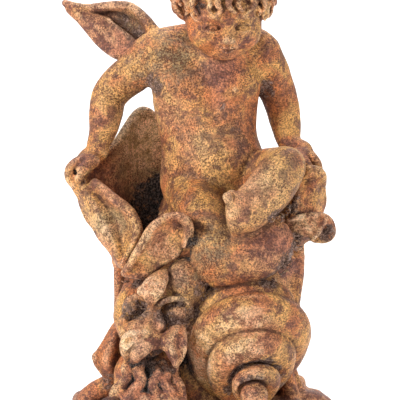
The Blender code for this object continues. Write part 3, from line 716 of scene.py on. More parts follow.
def wings(clay):
    """The right wing stands out to the side. The left one is swept back behind the head."""
    mass = clay.part((-205, 0, 440), (200, 190, 626), reach=6)
    lead = [
        (-186, 84, 559), (-171, 78, 555), (-155, 72, 553), (-140, 65, 554), (-125, 59, 556),
        (-110, 51, 557), (-95, 44, 555), (-82, 36, 547), (-71, 30, 535), (-60, 24, 519),
    ]
    hollow = [
        (-180, 87, 555), (-166, 86, 550), (-152, 84, 546), (-138, 82, 544), (-124, 78, 543),
        (-111, 73, 540), (-97, 66, 534), (-85, 57, 523), (-73, 48, 513), (-62, 40, 502),
    ]
    mass.wall([hollow, lead], THIN_WALL, melt=2)
    mass.limb(lead, [2.5, 3, 4, 5, 5.5, 5.5, 5.5, 6, 7, 9], 3)
    mass.wall([[(x, y + 10, z) for x, y, z in hollow], hollow], THIN_WALL, melt=2)
    edge = [
        (-182, 84, 557), (-165, 77, 548), (-150, 70, 542), (-134, 64, 538), (-120, 58, 533),
        (-106, 50, 525), (-94, 43, 516), (-82, 36, 507), (-71, 30, 497),
    ]
    swell = [
        (-181, 84, 554), (-167, 75, 544), (-151, 66, 532), (-137, 58, 522), (-124, 51, 512),
        (-111, 45, 505), (-99, 40, 499), (-87, 34, 493), (-76, 30, 488),
    ]
    hem = [
        (-180, 84, 551), (-166, 78, 538), (-151, 70, 521), (-139, 63, 507), (-127, 57, 497),
        (-115, 50, 490), (-102, 44, 487), (-90, 38, 483), (-77, 32, 481),
    ]
    mass.wall([hem, swell, edge], melt=2)
    mass.wall([hem, hollow[:9]], THIN_WALL, melt=4)
    mass.limb(
        [(-123, 66, 546), (-112, 58, 539), (-99, 50, 533), (-88, 41, 525), (-78, 34, 516)],
        [4, 8, 10, 9.5, 8],
        3,
        cut=True,
    )
    lead = [(62, 46, 500), (70, 84, 536), (78, 112, 550), (85, 140, 555), (88, 172, 561)]
    hollow = [(50, 62, 496), (52, 92, 520), (60, 118, 534), (72, 142, 543), (87, 170, 559)]
    swell = [(58, 62, 480), (64, 88, 496), (72, 112, 508), (80, 138, 524), (88, 170, 556)]
    hem = [(54, 60, 466), (56, 84, 470), (62, 108, 484), (73, 134, 509), (88, 168, 553)]
    mass.wall([hem, swell, hollow, lead], THIN_WALL, melt=2)
    mass.limb(lead, [12, 11, 9, 6.5, 3], 5)
    clay.add(mass, 6)


def sea_eyes(mass):
    """A round eye under a brow on the right, and a deep, half-hidden one on the left."""
    mass.ball((-36, -92, 151), (30, 30, 26), 10)
    mass.ball((-77, -112, 151), (30, 22, 22), 12)
    mass.ball((-28, -126, 171), (15, 5, 11.5), 4, cut=True)
    mass.ball((-28, -110, 170), (17, 16.5, 14.5), 2.5)
    brow = [
        (-55, -120, 177), (-48, -126, 186), (-36, -127, 190), (-22, -125, 189), (-13, -119, 180),
        (-9, -112, 167), (-12, -110, 153),
    ]
    mass.limb(brow, [4, 4.5, 4.2, 3.6, 3, 2.6, 2.5], 6)
    mass.limb([(-41, -120, 156), (-28, -122, 155), (-14, -116, 156)], [2.5, 3, 2.5], 3)
    mass.ball((-45, -124, 162), (8, 6, 8), 3, cut=True)
    mass.ball((-79, -124, 172), (16, 12, 19), 7, cut=True)
    mass.ball((-86, -112, 176), (9.5, 9, 11), 3)
    mass.ball((-70, -112, 183), (6, 5, 5), 3)
    mass.limb([(-98, -98, 158), (-94, -108, 180), (-81, -114, 190), (-66, -117, 188)], [4, 4.5, 4.5, 4], 3)


def sea_snout(mass):
    """A bridge that runs down to a split upper lip of three folds, over an open mouth."""
    mass.limb([(-60, -112, 177), (-60, -120, 163), (-68, -134, 151)], [7, 10, 12], 8)
    mass.limb(
        [(-61, -117, 181), (-66, -126, 171), (-74, -132, 161), (-85, -134, 153), (-95, -134, 146)],
        [4, 5.5, 8, 9, 8],
        7,
    )
    mass.ball((-69, -128, 134), (26, 22, 20), 10)
    mass.limb([(-55, -124, 166), (-51, -132, 157), (-53, -134, 149)], [6, 8, 6], 3)
    over = [
        (-53, -144, 147), (-65, -150, 149), (-78, -153, 147), (-87, -153, 141), (-91, -150, 130),
        (-92, -146, 121),
    ]
    mass.limb(over, [4, 7, 11, 13, 10, 6], 4)
    fold = [(-54, -149, 144), (-63, -155, 140), (-71, -158, 134), (-79, -156, 126), (-83, -149, 115)]
    mass.limb(fold, [5, 8, 10, 9, 5], 1.2)
    mass.limb([(-55, -146, 142), (-59, -150, 132), (-63, -149, 123)], [8, 9, 6], 4)
    between = [(-67, -164, 148), (-75, -166, 144), (-84, -165, 136), (-90, -161, 129)]
    mass.limb(between, [1.4, 2, 2.4, 2.4], 2, cut=True)
    leaf_left = [
        (-33, -134, 154), (-43, -142, 148), (-54, -146, 140), (-45, -152, 130), (-35, -154, 119),
        (-31, -152, 111),
    ]
    leaf_middle = [
        (-27, -134, 155), (-33, -149, 150), (-38, -156, 142), (-35, -160, 132), (-31, -158, 121),
        (-31, -153, 111),
    ]
    leaf_fold = [
        (-24, -133, 155), (-28, -144, 149), (-30, -150, 140), (-29, -153, 130), (-29, -154, 120),
        (-30, -152, 111),
    ]
    leaf_right = [
        (-22, -131, 153), (-20, -142, 147), (-20, -149, 138), (-21, -151, 129), (-25, -152, 119),
        (-30, -151, 110),
    ]
    mass.wall([leaf_left, leaf_middle, leaf_fold, leaf_right], 3.5, rim=3.2, melt=2)
    mass.ball((-55, -150, 123), (13, 18, 9), 3, cut=True)
    mass.ball((-69, -92, 76), (44, 36, 46), 6)


def sea_strands(mass):
    """Wavy locks of water that run from the mouth to the base, and the foam where they land."""
    strands = [
        (
            [(-87, -140, 116), (-92, -148, 106), (-91, -152, 95), (-102, -158, 84), (-111, -160, 75)],
            [6, 8, 8, 6, 4],
        ),
        (
            [(-73, -142, 112), (-78, -151, 103), (-74, -157, 91), (-83, -162, 80), (-87, -166, 69)],
            [6, 8, 8, 8, 7],
        ),
        (
            [(-60, -138, 105), (-54, -148, 97), (-60, -156, 86), (-55, -162, 76), (-60, -164, 66)],
            [8, 9, 8, 7, 7],
        ),
        (
            [(-48, -134, 107), (-43, -144, 98), (-45, -154, 87), (-36, -160, 77), (-38, -164, 66)],
            [6, 7, 8, 8, 7],
        ),
        ([(-33, -130, 103), (-34, -140, 93), (-27, -150, 83), (-24, -158, 67)], [6, 7, 8, 8]),
        ([(-82, -130, 100), (-85, -142, 88), (-93, -156, 71)], [7, 8, 8]),
        ([(-68, -132, 96), (-68, -146, 81), (-71, -158, 67)], [7, 8, 8]),
    ]
    for points, radii in strands:
        mass.limb(points, radii, 1.2)
    foam = [(-100, -156, 78), (-87, -162, 73), (-68, -164, 71), (-50, -162, 72), (-33, -162, 69)]
    for k, place in enumerate(foam):
        mass.ball(place, (12, 10, 8), 4, turned(0, 20 * (-1) ** k, 0))


def sea_head(clay):
    """The sea creature's head, with a tuft between its brows and a fin at its cheek."""
    mass = clay.part((-200, -196, 10), (60, 80, 300), reach=12)
    mass.ball((-40, -40, 160), (68, 60, 74))
    mass.ball((-76, -66, 153), (38, 36, 44), 12)
    mass.ball((-18, -92, 203), (28, 32, 34), 8)
    sea_eyes(mass)
    tuft = [(-46, -108, 220), (-53, -122, 211), (-61, -128, 201), (-61, -126, 182)]
    mass.limb(tuft, [6, 13, 14, 3], 1, flat=(0.45, (-0.25, -1, 0.2)))
    mass.ball((-72, -122, 199), (8, 6, 7), 3)
    mass.limb([(-50, -132, 217), (-55, -138, 205), (-66, -136, 197)], [1, 1.6, 1], 4, cut=True)
    sea_snout(mass)
    sea_strands(mass)
    fin_root = [(-109, -40, 55), (-107, -38, 68), (-105, -36, 84), (-105, -34, 105), (-105, -34, 128)]
    fin_middle = [(-114, -62, 66), (-116, -72, 81), (-119, -76, 98), (-115, -72, 116), (-107, -60, 135)]
    fin_edge = [(-121, -62, 68), (-129, -66, 79), (-136, -66, 94), (-126, -58, 112), (-112, -46, 134)]
    mass.wall([fin_root, fin_middle, fin_edge], THIN_WALL, rim=5, melt=2)
    mass.ball((-138, -66, 97), (5, 8, 6), 3)
    clay.add(mass, 3)


def snail_shell(clay):
    """A tube wound inwards on a helix that comes forward and down, with a knob at its tip.

    Each station is (turns, middle of the helix, radius of the turn, radius of the tube).
    """
    stations = [
        (-0.6, (57, -56, 134), 60, 29),
        (0.0, (61, -70, 132), 58, 29),
        (0.5, (61, -84, 126), 56, 28),
        (1.0, (60, -99, 116), 48, 25),
        (1.5, (58, -113, 102), 37.5, 21.5),
        (2.0, (63, -126, 90), 29, 16.5),
        (2.5, (66, -138, 82), 20.5, 11.5),
        (3.0, (70, -146, 78), 15, 9),
    ]
    mass = clay.part((-70, -196, -4), (185, 20, 240))
    turns, middles, turn_radii, tube_radii = zip(*stations)
    middles = np.array(middles, float)
    axis = unit(middles[6] - middles[2])
    side = unit(np.cross((0, 0, 1), axis))
    up = np.cross(axis, side)
    steps = 190
    turn = np.linspace(turns[0], turns[-1], steps)
    middle = np.column_stack([np.interp(turn, turns, middles[:, i]) for i in range(3)])
    angle = math.tau * turn - math.pi / 2
    sag = 1.7
    lift = np.where(np.sin(angle) < 0, sag, 1.0) * np.sin(angle)
    spoke = np.cos(angle)[:, None] * side + lift[:, None] * up
    path = middle + np.interp(turn, turns, turn_radii)[:, None] * spoke
    mass.limb(path, np.interp(turn, turns, tube_radii), steps=1)
    mass.limb(middles[[0, 2, 4, 6]], [46, 38, 22, 10])
    knob = (68, -158, 73)
    mass.ball(knob, (22, 13, 21), 3, cut=True)
    mass.ball(knob, (17.5, 17, 17.5), 1)
    clay.add(mass, 2)


def creases(clay):
    """The deep hollow beside the right hip, and lines carved where two forms meet."""
    beside_hip = [(-68, 50, 304), (-66, 47, 264), (-68, 10, 252), (-68, -40, 260), (-68, -72, 266)]
    clay.limb(beside_hip, [19, 21, 26, 20, 8], 6, cut=True)
    clay.ball((-66, 10, 290), (16, 30, 18), 4, cut=True)
    for points, radii, melt in (
        ([(-11, -112, 277), (-11, -114, 266), (-13, -111, 254), (-17, -104, 244)], [1.5, 3, 4, 3.5], 3),
        ([(-13, -118, 241), (0, -120, 225), (14, -118, 206)], [0.8, 1.4, 1], 6),
        ([(-42, -124, 218), (-43, -126, 204), (-53, -128, 188)], [1.5, 2.2, 2], 3),
        ([(-74, -96, 263), (-80, -98, 249), (-91, -100, 232)], [2.5, 3, 2], 4),
        ([(15, -112, 197), (36, -108, 205), (59, -100, 210), (81, -90, 212)], [1, 1.6, 1.6, 1], 5),
    ):
        clay.limb(points, radii, melt, cut=True)


def litter(clay):
    """Scraps of leaf and cobweb caught in the gaps: short thin strands in random directions."""
    rng = np.random.default_rng(11)
    for place, spread, count in (
        ((108, -96, 231), (7, 5, 15), 34),
        ((119, -86, 249), (5, 5, 11), 18),
        ((125, -76, 252), (5, 3, 6), 12),
        ((90, -100, 207), (8, 4, 6), 16),
        ((94, -112, 293), (12, 3, 6), 12),
        ((112, -88, 299), (10, 8, 9), 18),
        ((-90, -84, 206), (9, 4, 5), 12),
        ((-74, -116, 169), (6, 5, 11), 24),
    ):
        for _ in range(count):
            middle = np.array(place) + rng.uniform(-1, 1, 3) * spread
            reach = rng.uniform(2.5, 6) * unit(rng.normal(size=3) * (1, 0.5, 1))
            bend = rng.uniform(-1.5, 1.5, 3)
            clay.limb([middle - reach, middle + bend, middle + reach], [0.9, 1.3, 0.9], 0.4)


def sculpt():
    """The whole statue in clay, cut flat underneath."""
    low, high = (np.array(corner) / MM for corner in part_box(NODE))
    margin = 8
    clay = Clay(low - (margin, margin, 2 * CLAY_STEP), high + margin, CLAY_STEP)
    figure = (seat, body, legs, hands, head, wings)
    for form in (rocky_base, trunk, *figure, sea_head, snail_shell, creases, litter):
        form(clay)
    clay.value = np.maximum(clay.value, -clay.axes(np.zeros(3, int), clay.count)[2])
    return clay


# The skin --------------------------------------------------


def mesh_of(name, points, faces):
    """A mesh from arrays of points in millimetres and of three- or four-sided faces."""
    mesh = bpy.data.meshes.new(name)
    sides = faces.shape[1]
    mesh.vertices.add(len(points))
    mesh.vertices.foreach_set("co", (points * MM).astype(np.float32).ravel())
    mesh.loops.add(faces.size)
    mesh.loops.foreach_set("vertex_index", faces.astype(np.int32).ravel())
    mesh.polygons.add(len(faces))
    mesh.polygons.foreach_set("loop_start", np.arange(0, faces.size, sides, dtype=np.int32))
    mesh.update(calc_edges=True)
    return mesh


def linked(name, mesh):
    obj = bpy.data.objects.new(name, mesh)
    bpy.context.scene.collection.objects.link(obj)
    return obj


def applied(obj):
    """Puts the result of the object's modifiers in its mesh."""
    graph = bpy.context.evaluated_depsgraph_get()
    mesh = bpy.data.meshes.new_from_object(obj.evaluated_get(graph))
    obj.modifiers.clear()
    obj.data = mesh
    return obj


def uneven(points):
    """Small lumps of a sand casting, in millimetres along the skin's normal."""
    x, y, z = points.T
    broad = np.sin(x / 9.1 + 1.7 * np.sin(z / 13)) * np.sin(y / 8.3 + 0.6)
    broad = broad * np.sin(z / 10.7 + 1.3 * np.sin(x / 17))
    fine = np.sin(x / 3.1 + z / 5.3) * np.sin(y / 3.7 - x / 7.9) * np.sin(z / 2.9 + y / 6.1)
    return BROAD_LUMPS * broad + FINE_LUMPS * fine


def vectors(source, field):
    values = np.empty(len(source) * 3, np.float32)
    source.foreach_get(field, values)
    return values.reshape(-1, 3)


def set_share(mesh, name, values):
    layer = mesh.attributes.new(name, "FLOAT", "POINT")
    layer.data.foreach_set("value", np.clip(values, 0, 1).astype(np.float32))


def soft_step(value, low, high):
    t = np.clip((value - low) / (high - low), 0, 1)
    return t * t * (3 - 2 * t)


def shelter(clay, points, normals, distances):
    """How far the form closes in around each point, from 0 in the open to 1 in a deep hollow."""
    total = 0
    for distance in distances:
        free = np.clip(clay.sample(points + distance * normals), -distance, distance)
        total = total + (1 - free / distance)
    return total / len(distances)


def roundness(clay, points, reach):
    """Curvature of the form at a scale, in 1/mm: above zero on ridges and below it in grooves."""
    total = -6 * clay.sample(points)
    for axis in np.eye(3):
        total = total + clay.sample(points + reach * axis) + clay.sample(points - reach * axis)
    return total / reach**2


def patches(points, spots):
    """Soft spots, each given as x, y, z, radius and amount."""
    total = np.zeros(len(points))
    for *place, radius, amount in spots:
        total += amount * np.exp(-(((points - place) / radius) ** 2).sum(axis=1))
    return total


# Spots of moss, of red stain, of pale iron and painted light, of soot and painted shadow in the hollows, and
# of crusted dirt.
MOSS = [
    (15, -110, 256, 30, 1.1), (7, -40, 303, 40, 0.6), (-13, -110, 217, 24, 0.8), (88, -110, 340, 42, 0.6),
    (-83, 68, 385, 46, 1.2), (-76, 80, 334, 40, 1.0), (-103, -64, 278, 18, 1.6), (-73, 0, 465, 34, 0.7),
    (-33, -20, 471, 30, 0.5), (33, -40, 390, 34, 0.3), (-7, -40, 390, 24, 0.5), (-87, 60, 537, 26, 1.2),
    (-31, -20, 499, 26, 1.3), (-77, -120, 174, 16, 1.0), (-80, 76, 350, 48, 1.2), (-28, -122, 187, 16, 0.9),
    (-122, -68, 276, 14, 1.8),
]
RED = [
    (26, -40, 472, 20, 1.4), (4, -36, 472, 12, 0.9), (27, -46, 427, 12, 1.7), (59, -50, 384, 22, 0.7),
    (79, -110, 243, 36, 1.0), (98, -110, 263, 22, 0.8), (-27, -120, 214, 10, 3.2), (-63, -150, 84, 42, 1.0),
    (-136, 15, 322, 26, 0.9), (-116, 29, 306, 26, 1.0), (-95, 62, 293, 28, 0.7), (-121, 60, 509, 48, 1.5),
    (-52, -134, 155, 10, 1.4), (-71, -160, 132, 14, 1.0), (-33, -150, 136, 14, 1.1),
    (-71, -160, 130, 10, 1.5), (-49, -140, 155, 9, 2.0), (-27, -124, 171, 8, 2.2), (-44, -128, 189, 8, 1.2),
    (65, -165, 80, 14, 0.8), (53, -60, 173, 26, 0.8), (-47, 0, 345, 26, 0.7), (-165, -30, 355, 18, 0.6),
    (-41, 0, 276, 22, 0.7), (-107, -30, 166, 26, 0.6), (132, -30, 355, 16, 0.5), (133, -60, 118, 26, 0.5),
    (51, -80, 502, 24, 0.5), (90, 0, 546, 30, 0.9), (-138, 5, 28, 42, 2.2), (-144, 70, 516, 34, 0.9),
    (128, -40, 202, 30, 0.9), (-27, -128, 173, 9, 0.9), (-47, -134, 157, 8, 0.8),
]
# Pale iron and painted light: lifts shaded parts such as the inside of the shell, and paints highlights on
# the snail shell's left side and elsewhere.
PALE = [
    (-124, -70, 275, 26, 0.7), (-57, -110, 256, 22, 0.8), (-89, -160, 145, 12, 2.2),
    (-75, -150, 152, 13, 1.2), (-69, -128, 168, 9, 1.2), (-32, -105, 233, 18, 0.6), (-61, -125, 205, 15, 1.6),
    (-4, -112, 132, 22, 1.6), (19, -120, 108, 22, 1.6), (57, -130, 144, 34, 0.9), (73, -120, 335, 34, 0.6),
    (-121, 10, 407, 26, 0.5), (-78, 62, 352, 36, 1.5), (-9, -116, 122, 22, 2.0), (-8, -98, 90, 24, 2.0),
    (-40, -20, 421, 24, 0.5), (4, -40, 370, 26, 0.4), (40, -125, 298, 16, 0.8), (137, -76, 275, 18, 1.0),
    (70, -140, 103, 16, 0.7), (-78, 62, 385, 26, 1.5), (32, -118, 515, 8, 0.9), (9, -100, 513, 11, 0.6),
    (58, -95, 515, 11, 0.8),
]
# Soot, and painted shadow: the strong spots fill the deep hollow beside the right hip with black.
SOOT_AND_SHADOW_SPOTS = [
    (-45, -122, 161, 8, 1.0), (-77, -112, 169, 15, 0.8), (-61, -140, 114, 20, 1.2), (-63, -150, 84, 34, 0.8),
    (-65, 70, 282, 30, 1.6), (-62, 85, 301, 26, 1.0), (-80, 60, 278, 22, 1.4), (-71, 78, 263, 22, 1.6),
    (-89, 60, 527, 16, 0.8), (-10, -90, 264, 12, 1.3), (-17, -110, 73, 18, 1.3), (-17, -80, 108, 26, 1.3),
    (-16, -70, 108, 24, 1.4), (166, -66, 265, 9, 1.0), (-167, -30, 339, 10, 1.0), (6, -70, 558, 18, 0.9),
    (27, -44, 429, 7, 1.2), (118, -80, 237, 9, 1.2), (112, -60, 295, 16, 1.2), (-64, 82, 275, 24, 4.5),
    (-76, 66, 266, 19, 4.5), (-66, 66, 262, 17, 4.5), (-59, 90, 290, 15, 2.0), (-13, -113, 262, 9, 1.6),
    (-15, -90, 244, 12, 1.6), (-45, -128, 163, 9, 1.6), (163, -64, 264, 8, 1.5),
]
CRUSTED = [
    (39, -125, 70, 10, 1.3), (41, -130, 82, 9, 1.2), (46, -138, 96, 9, 1.3), (56, -143, 108, 8, 1.3),
    (71, -145, 117, 8, 1.4), (87, -141, 114, 8, 1.4), (100, -128, 100, 8, 1.2), (107, -110, 80, 9, 1.2),
    (113, -92, 60, 12, 1.4), (55, -160, 92, 5, 1.2), (64, -162, 98, 5, 1.3), (75, -162, 97, 5, 1.2),
    (86, -158, 86, 6, 1.3), (91, -154, 72, 8, 1.0), (8, -124, 77, 10, 0.9), (-62, -18, 457, 12, 1.6),
    (-57, -22, 448, 8, 1.2), (88, 8, 445, 13, 1.5), (-39, -38, 491, 13, 1.1), (-90, -110, 170, 14, 1.3),
    (-72, -112, 175, 9, 1.4), (-51, -124, 180, 8, 0.9), (-43, -128, 165, 10, 1.6), (-27, -124, 189, 9, 0.8),
    (-10, -112, 169, 8, 1.2), (-26, -118, 155, 8, 1.1), (-88, -84, 206, 13, 1.4), (-69, -88, 210, 12, 0.9),
    (-107, -74, 222, 9, 0.8), (-3, -112, 201, 12, 1.1), (13, -104, 191, 10, 0.9), (108, -94, 231, 14, 1.5),
    (118, -84, 247, 12, 1.5), (127, -78, 254, 10, 1.2), (102, -92, 213, 11, 1.3), (87, -102, 206, 10, 1.3),
    (95, -112, 294, 12, 1.4), (113, -86, 300, 14, 1.4), (123, -60, 304, 12, 0.9), (-70, -88, 213, 10, 0.8),
    (-154, -36, 323, 8, 1.3), (-171, -28, 342, 7, 1.0), (-177, -24, 330, 6, 1.0), (-63, -140, 119, 14, 1.0),
    (-43, -140, 103, 12, 0.9), (-116, -56, 65, 16, 1.2), (4, -70, 552, 12, 1.2), (55, -70, 558, 10, 1.0),
    (-104, 58, 537, 14, 1.0), (-85, 44, 522, 12, 1.2), (170, -62, 259, 8, 1.3), (166, -68, 261, 8, 1.8),
    (-120, -72, 66, 9, 1.6), (-46, -130, 163, 8, 2.0), (-36, -119, 180, 5, 1.6), (-26, -118, 183, 5, 1.4),
    (-13, -120, 171, 6, 1.7), (-18, -121, 156, 6, 1.5), (-30, -122, 158, 6, 1.3), (-74, -122, 172, 10, 1.6),
    (-72, -130, 160, 9, 1.6), (164, -66, 266, 9, 1.8), (29, -36, 426, 8, 0.7), (-139, 9, 26, 34, 0.5),
    (-157, -25, 31, 24, 0.45),
]


def skin_of(clay):
    """The meshed clay, thinned where it is smooth."""
    points, faces = clay.surface()
    skin = linked("statue", mesh_of("statue", points, faces))
    soften = skin.modifiers.new("soften", "SMOOTH")
    soften.factor = 0.5
    soften.iterations = 2
    thin = skin.modifiers.new("thin", "DECIMATE")
    thin.ratio = min(1, SKIN_TRIANGLES / (2 * len(faces)))
    return applied(skin)


def finish(skin, clay):
    """Writes the shares that the rust reads, painted shade and painted light among them, and then the small
    lumps of the casting.
    """
    mesh = skin.data
    points = vectors(mesh.vertices, "co") / MM
    normals = vectors(mesh.vertex_normals, "vector")
    near = shelter(clay, points, normals, NEAR)
    wide = shelter(clay, points, normals, WIDE)
    fine = roundness(clay, points, FINE_EDGE)
    broad = roundness(clay, points, BROAD_EDGE)
    # crevice, hollow and groove measure how the form closes in. The rust darkens there, as dirt and as
    # painted shade.
    set_share(mesh, "crevice", soft_step(near, 0.15, 0.85))
    set_share(mesh, "hollow", soft_step(wide, 0.3, 1.2))
    set_share(mesh, "groove", 0.8 * soft_step(-fine, 0.03, 0.3) + 0.5 * soft_step(-broad, 0.02, 0.15))
    # Soot and painted shadow, only where the form shelters it.
    set_share(mesh, "soot_and_shadow", 0.4 * patches(points, SOOT_AND_SHADOW_SPOTS) * soft_step(wide, 0.05, 0.3))
    set_share(mesh, "crust", patches(points, CRUSTED))
    # Convex edges, which the rust paints paler, as wear and as painted highlight.
    ridge = 0.6 * soft_step(fine, 0.10, 0.34) + 0.6 * soft_step(broad, 0.07, 0.2)
    set_share(mesh, "ridge", ridge * (1 - soft_step(near, 0.1, 0.5)))
    set_share(mesh, "moss", patches(points, MOSS))
    red_base = 0.9 * soft_step(-points[:, 2], -52, -24)
    set_share(mesh, "red", patches(points, RED) + red_base)
    # Pale iron and painted light.
    set_share(mesh, "pale", patches(points, PALE))
    points += uneven(points)[:, None] * normals * soft_step(points[:, 2], 0, 4)[:, None]
    points[:, 2] = np.maximum(points[:, 2], 0)
    mesh.vertices.foreach_set("co", (points * MM).astype(np.float32).ravel())
    mesh.shade_smooth()


# The rust --------------------------------------------------


class Nodes:
    """A short way to write a material's node tree."""

    def __init__(self, name):
        self.material = bpy.data.materials.new(name)
        self.material.use_nodes = True
        self.tree = self.material.node_tree
        self.shader = self.tree.nodes["Principled BSDF"]

    def add(self, kind, inputs=(), **settings):
        node = self.tree.nodes.new(kind)
        for name, value in settings.items():
            setattr(node, name, value)
        for name, value in dict(inputs).items():
            self.put(value, node.inputs[name])
        return node

    def put(self, value, socket):
        if isinstance(value, bpy.types.NodeSocket):
            self.tree.links.new(value, socket)
        else:
            socket.default_value = value

    def share(self, name):
        return self.add("ShaderNodeAttribute", attribute_name=name).outputs["Fac"]

    def noise(self, scale, detail, rough, warp=0.0):
        inputs = {"Scale": scale, "Detail": detail, "Roughness": rough, "Distortion": warp}
        return self.add("ShaderNodeTexNoise", {"Vector": self.place, **inputs}).outputs["Fac"]

    def dots(self, scale):
        inputs = {"Vector": self.place, "Scale": scale}
        return self.add("ShaderNodeTexVoronoi", inputs).outputs["Distance"]

    def step(self, value, low, high, to_low=0.0, to_high=1.0):
        inputs = {"Value": value, "From Min": low, "From Max": high, "To Min": to_low, "To Max": to_high}
        return self.add("ShaderNodeMapRange", inputs, interpolation_type="SMOOTHSTEP").outputs["Result"]

    def math(self, operation, a, b, clamp=False):
        node = self.add("ShaderNodeMath", {0: a, 1: b}, operation=operation)
        node.use_clamp = clamp
        return node.outputs[0]

    def times(self, a, b, clamp=False):
        return self.math("MULTIPLY", a, b, clamp)

    def plus(self, a, b):
        return self.math("ADD", a, b)

    def grey(self, value):
        inputs = dict.fromkeys(("Red", "Green", "Blue"), value)
        return self.add("ShaderNodeCombineColor", inputs).outputs["Color"]

    def mix(self, share, a, b, blend="MIX"):
        node = self.add("ShaderNodeMix", data_type="RGBA", blend_type=blend, clamp_factor=True)
        for value, socket in ((share, 0), (a, 6), (b, 7)):
            self.put(value, node.inputs[socket])
        return node.outputs[2]


OCHRE = (0.72, 0.365, 0.105, 1)
ORANGE = (0.58, 0.190, 0.058, 1)
ROSE = (0.60, 0.250, 0.160, 1)
BROWN = (0.20, 0.060, 0.030, 1)
PURPLE = (0.16, 0.060, 0.046, 1)
# Cream for worn pale iron and for painted highlights.
CREAM = (0.92, 0.66, 0.42, 1)
LICHEN = (0.34, 0.26, 0.12, 1)
SPECK = (0.115, 0.034, 0.013, 1)
# Dark brown of dirt, and of painted shade, in creases and hollows.
GRIME_AND_SHADE = (0.075, 0.030, 0.018, 1)
# Near-black for soot and for painted shadow.
SOOT_AND_SHADOW_BLACK = (0.012, 0.008, 0.007, 1)
DUST = (0.16, 0.12, 0.10, 1)
CRUST = (0.070, 0.034, 0.024, 1)
CRUMB = (0.46, 0.29, 0.22, 1)


def rusted_iron():
    n = Nodes("rusted_iron")
    n.place = n.add("ShaderNodeTexCoord").outputs["Object"]
    names = ("crevice", "hollow", "groove", "ridge", "moss", "red", "pale", "soot_and_shadow", "crust")
    crevice, hollow, groove, ridge, moss, red, pale, soot_and_shadow, crust = (n.share(name) for name in names)
    broad = n.noise(22, 4, 0.6, 0.6)
    middle = n.noise(60, 5, 0.65, 0.4)
    ragged = n.noise(52, 8, 0.82)
    small = n.noise(170, 4, 0.7)
    fine = n.noise(380, 3, 0.7)

    colour = n.mix(n.step(broad, 0.40, 0.60), ORANGE, OCHRE)
    colour = n.mix(1.0, colour, n.grey(n.step(middle, 0.30, 0.66, 1.18, 0.80)), "MULTIPLY")
    colour = n.mix(n.times(red, 0.55), colour, ROSE)
    red_stain = n.times(red, n.step(ragged, 0.40, 0.60, 0.10, 0.85))
    stain = n.plus(n.step(ragged, 0.485, 0.57, 0.0, 0.85), red_stain)
    stain = n.times(stain, n.step(pale, 0.3, 1.2, 1.0, 0.25))
    colour = n.mix(stain, colour, n.mix(n.step(small, 0.4, 0.6), BROWN, PURPLE))
    mossy = n.times(moss, n.step(ragged, 0.38, 0.56, 0.2, 1.0))
    colour = n.mix(n.times(mossy, 0.65), colour, LICHEN)
    # Paler cream on edges and pale spots: wear, painted highlights and painted light.
    bright = n.plus(n.times(ridge, 0.45), n.times(pale, 0.6))
    bright = n.times(bright, n.step(ragged, 0.60, 0.42), clamp=True)
    colour = n.mix(bright, colour, CREAM)
    colour = n.mix(1.0, colour, n.grey(n.step(fine, 0.34, 0.64, 0.49, 1.32)), "MULTIPLY")

    crowd = n.plus(n.step(n.noise(40, 4, 0.65), 0.34, 0.62), n.times(moss, 0.5))
    size = n.plus(n.times(small, 0.27), n.times(crowd, 0.20))
    size = n.math("SUBTRACT", size, n.times(pale, 0.10))
    size = n.plus(size, n.step(n.noise(650, 3, 0.75), 0.3, 0.7, -0.17, 0.17))
    dots = n.step(n.math("SUBTRACT", n.dots(400), size), 0.10, -0.04)
    spots = n.step(n.math("SUBTRACT", n.dots(230), size), -0.05, -0.15)
    specks = n.math("MAXIMUM", dots, spots)
    colour = n.mix(n.times(specks, 0.88), colour, SPECK)

    rough_edge = n.step(n.noise(110, 7, 0.85), 0.36, 0.60, 0.1, 1.35)
    # Dirt and painted shade: the colour turns dark brown in creases, grooves and broad hollows, where shade
    # would fall.
    grime_and_shade = n.plus(n.times(crevice, 0.8), n.times(groove, 0.5))
    grime_and_shade = n.plus(grime_and_shade, n.times(hollow, 0.5))
    grime_and_shade = n.step(n.times(grime_and_shade, rough_edge), 0.05, 1.0)
    colour = n.mix(n.times(grime_and_shade, 0.85), colour, GRIME_AND_SHADE)
    crumbs = n.step(n.noise(330, 4, 0.75), 0.48, 0.58)
    # Soot and painted shadow: near-black with grey crumbs in the listed sheltered spots, painted into holes
    # where light would not reach.
    black = n.plus(crevice, n.plus(n.times(groove, 0.8), n.times(hollow, 0.7)))
    black = n.times(n.times(n.plus(black, 0.3), n.times(soot_and_shadow, 2.5)), rough_edge)
    black = n.step(black, 0.15, 0.85)
    colour = n.mix(black, colour, n.mix(crumbs, SOOT_AND_SHADOW_BLACK, DUST))
    cracks = n.times(n.plus(crevice, groove), 0.25)
    crusted = n.times(n.times(crust, n.plus(cracks, 0.62)), rough_edge)
    crusted = n.step(crusted, 0.17, 0.46)
    flecks = n.step(n.noise(300, 3, 0.75), 0.47, 0.58)
    colour = n.mix(n.times(crusted, 0.92), colour, n.mix(flecks, CRUST, CRUMB))

    n.put(colour, n.shader.inputs["Base Color"])
    rough = n.plus(n.step(small, 0.3, 0.7, 0.44, 0.64), n.times(n.math("MAXIMUM", grime_and_shade, black), 0.35))
    n.put(rough, n.shader.inputs["Roughness"])
    n.shader.inputs["Metallic"].default_value = 0.0
    n.shader.inputs["Specular IOR Level"].default_value = 0.45

    height = n.plus(n.times(fine, 0.8), n.times(small, 1.0))
    height = n.math("SUBTRACT", height, n.times(specks, 0.3))
    height = n.plus(height, n.times(n.times(flecks, crusted), 0.9))
    bump = n.add("ShaderNodeBump", {"Height": height, "Strength": 0.9, "Distance": 0.0014})
    n.put(bump.outputs["Normal"], n.shader.inputs["Normal"])
    return n.material


# The studio ------------------------------------------------

AIM = (0, 0, 0.297)
CAMERA_DISTANCE = 1.8
CAMERA_RISE = 9
LENS = 120
SENSOR = 36


def aimed(obj, place, at):
    obj.location = place
    obj.rotation_euler = (Vector(at) - Vector(place)).to_track_quat("-Z", "Y").to_euler()


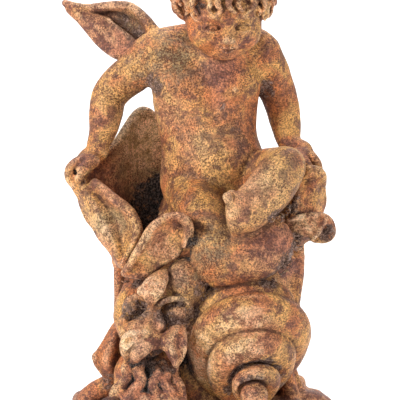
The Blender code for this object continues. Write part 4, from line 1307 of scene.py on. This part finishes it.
def camera():
    lens = bpy.data.cameras.new("camera")
    lens.lens = LENS
    lens.sensor_width = SENSOR
    view = linked("camera", lens)
    rise = math.radians(CAMERA_RISE)
    aimed(view, (0, -CAMERA_DISTANCE * math.cos(rise), AIM[2] + CAMERA_DISTANCE * math.sin(rise)), AIM)
    bpy.context.scene.camera = view


def softbox(name, place, size, power, at):
    lamp = bpy.data.lights.new(name, "AREA")
    lamp.shape = "RECTANGLE"
    lamp.size, lamp.size_y = size
    lamp.energy = power
    aimed(linked(name, lamp), place, at)


def studio():
    """A pale sweep, floor and wall in one, with softboxes at the left, the front, the right and above."""
    profile = [(-3.6, 0.0), (2.5, 0.0), (2.9, 0.06), (3.2, 0.3), (3.3, 0.7), (3.3, 4.0)]
    half_width = 4.0
    points = np.array([(x, y, z) for y, z in profile for x in (-half_width, half_width)]) / MM
    faces = np.array([(2 * k, 2 * k + 1, 2 * k + 3, 2 * k + 2) for k in range(len(profile) - 1)])
    sweep = linked("sweep", mesh_of("sweep", points, faces))
    sweep.data.shade_smooth()
    paper = bpy.data.materials.new("paper")
    paper.use_nodes = True
    shader = paper.node_tree.nodes["Principled BSDF"]
    shader.inputs["Base Color"].default_value = (0.92, 0.92, 0.92, 1)
    shader.inputs["Roughness"].default_value = 0.9
    sweep.data.materials.append(paper)
    softbox("key", (-1.6, -1.0, 1.25), (0.6, 0.8), 35.5, AIM)
    softbox("front", (-0.45, -2.2, 0.9), (0.8, 0.8), 13, AIM)
    softbox("fill", (1.8, -0.6, 0.9), (0.6, 1.0), 17.5, AIM)
    softbox("backdrop", (0.0, 1.0, 2.6), (2.6, 0.8), 130, (0, 2.4, 0.3))
    world = bpy.data.worlds.new("studio")
    world.use_nodes = True
    sky = world.node_tree.nodes["Background"]
    sky.inputs["Color"].default_value = (1, 1, 1, 1)
    sky.inputs["Strength"].default_value = 0.10
    bpy.context.scene.world = world


bpy.context.scene.view_settings.view_transform = "Standard"
camera()
studio()
clay = sculpt()
statue = skin_of(clay)
finish(statue, clay)
statue.data.materials.clear()
statue.data.materials.append(rusted_iron())
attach(statue, "root")
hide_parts(NODE)
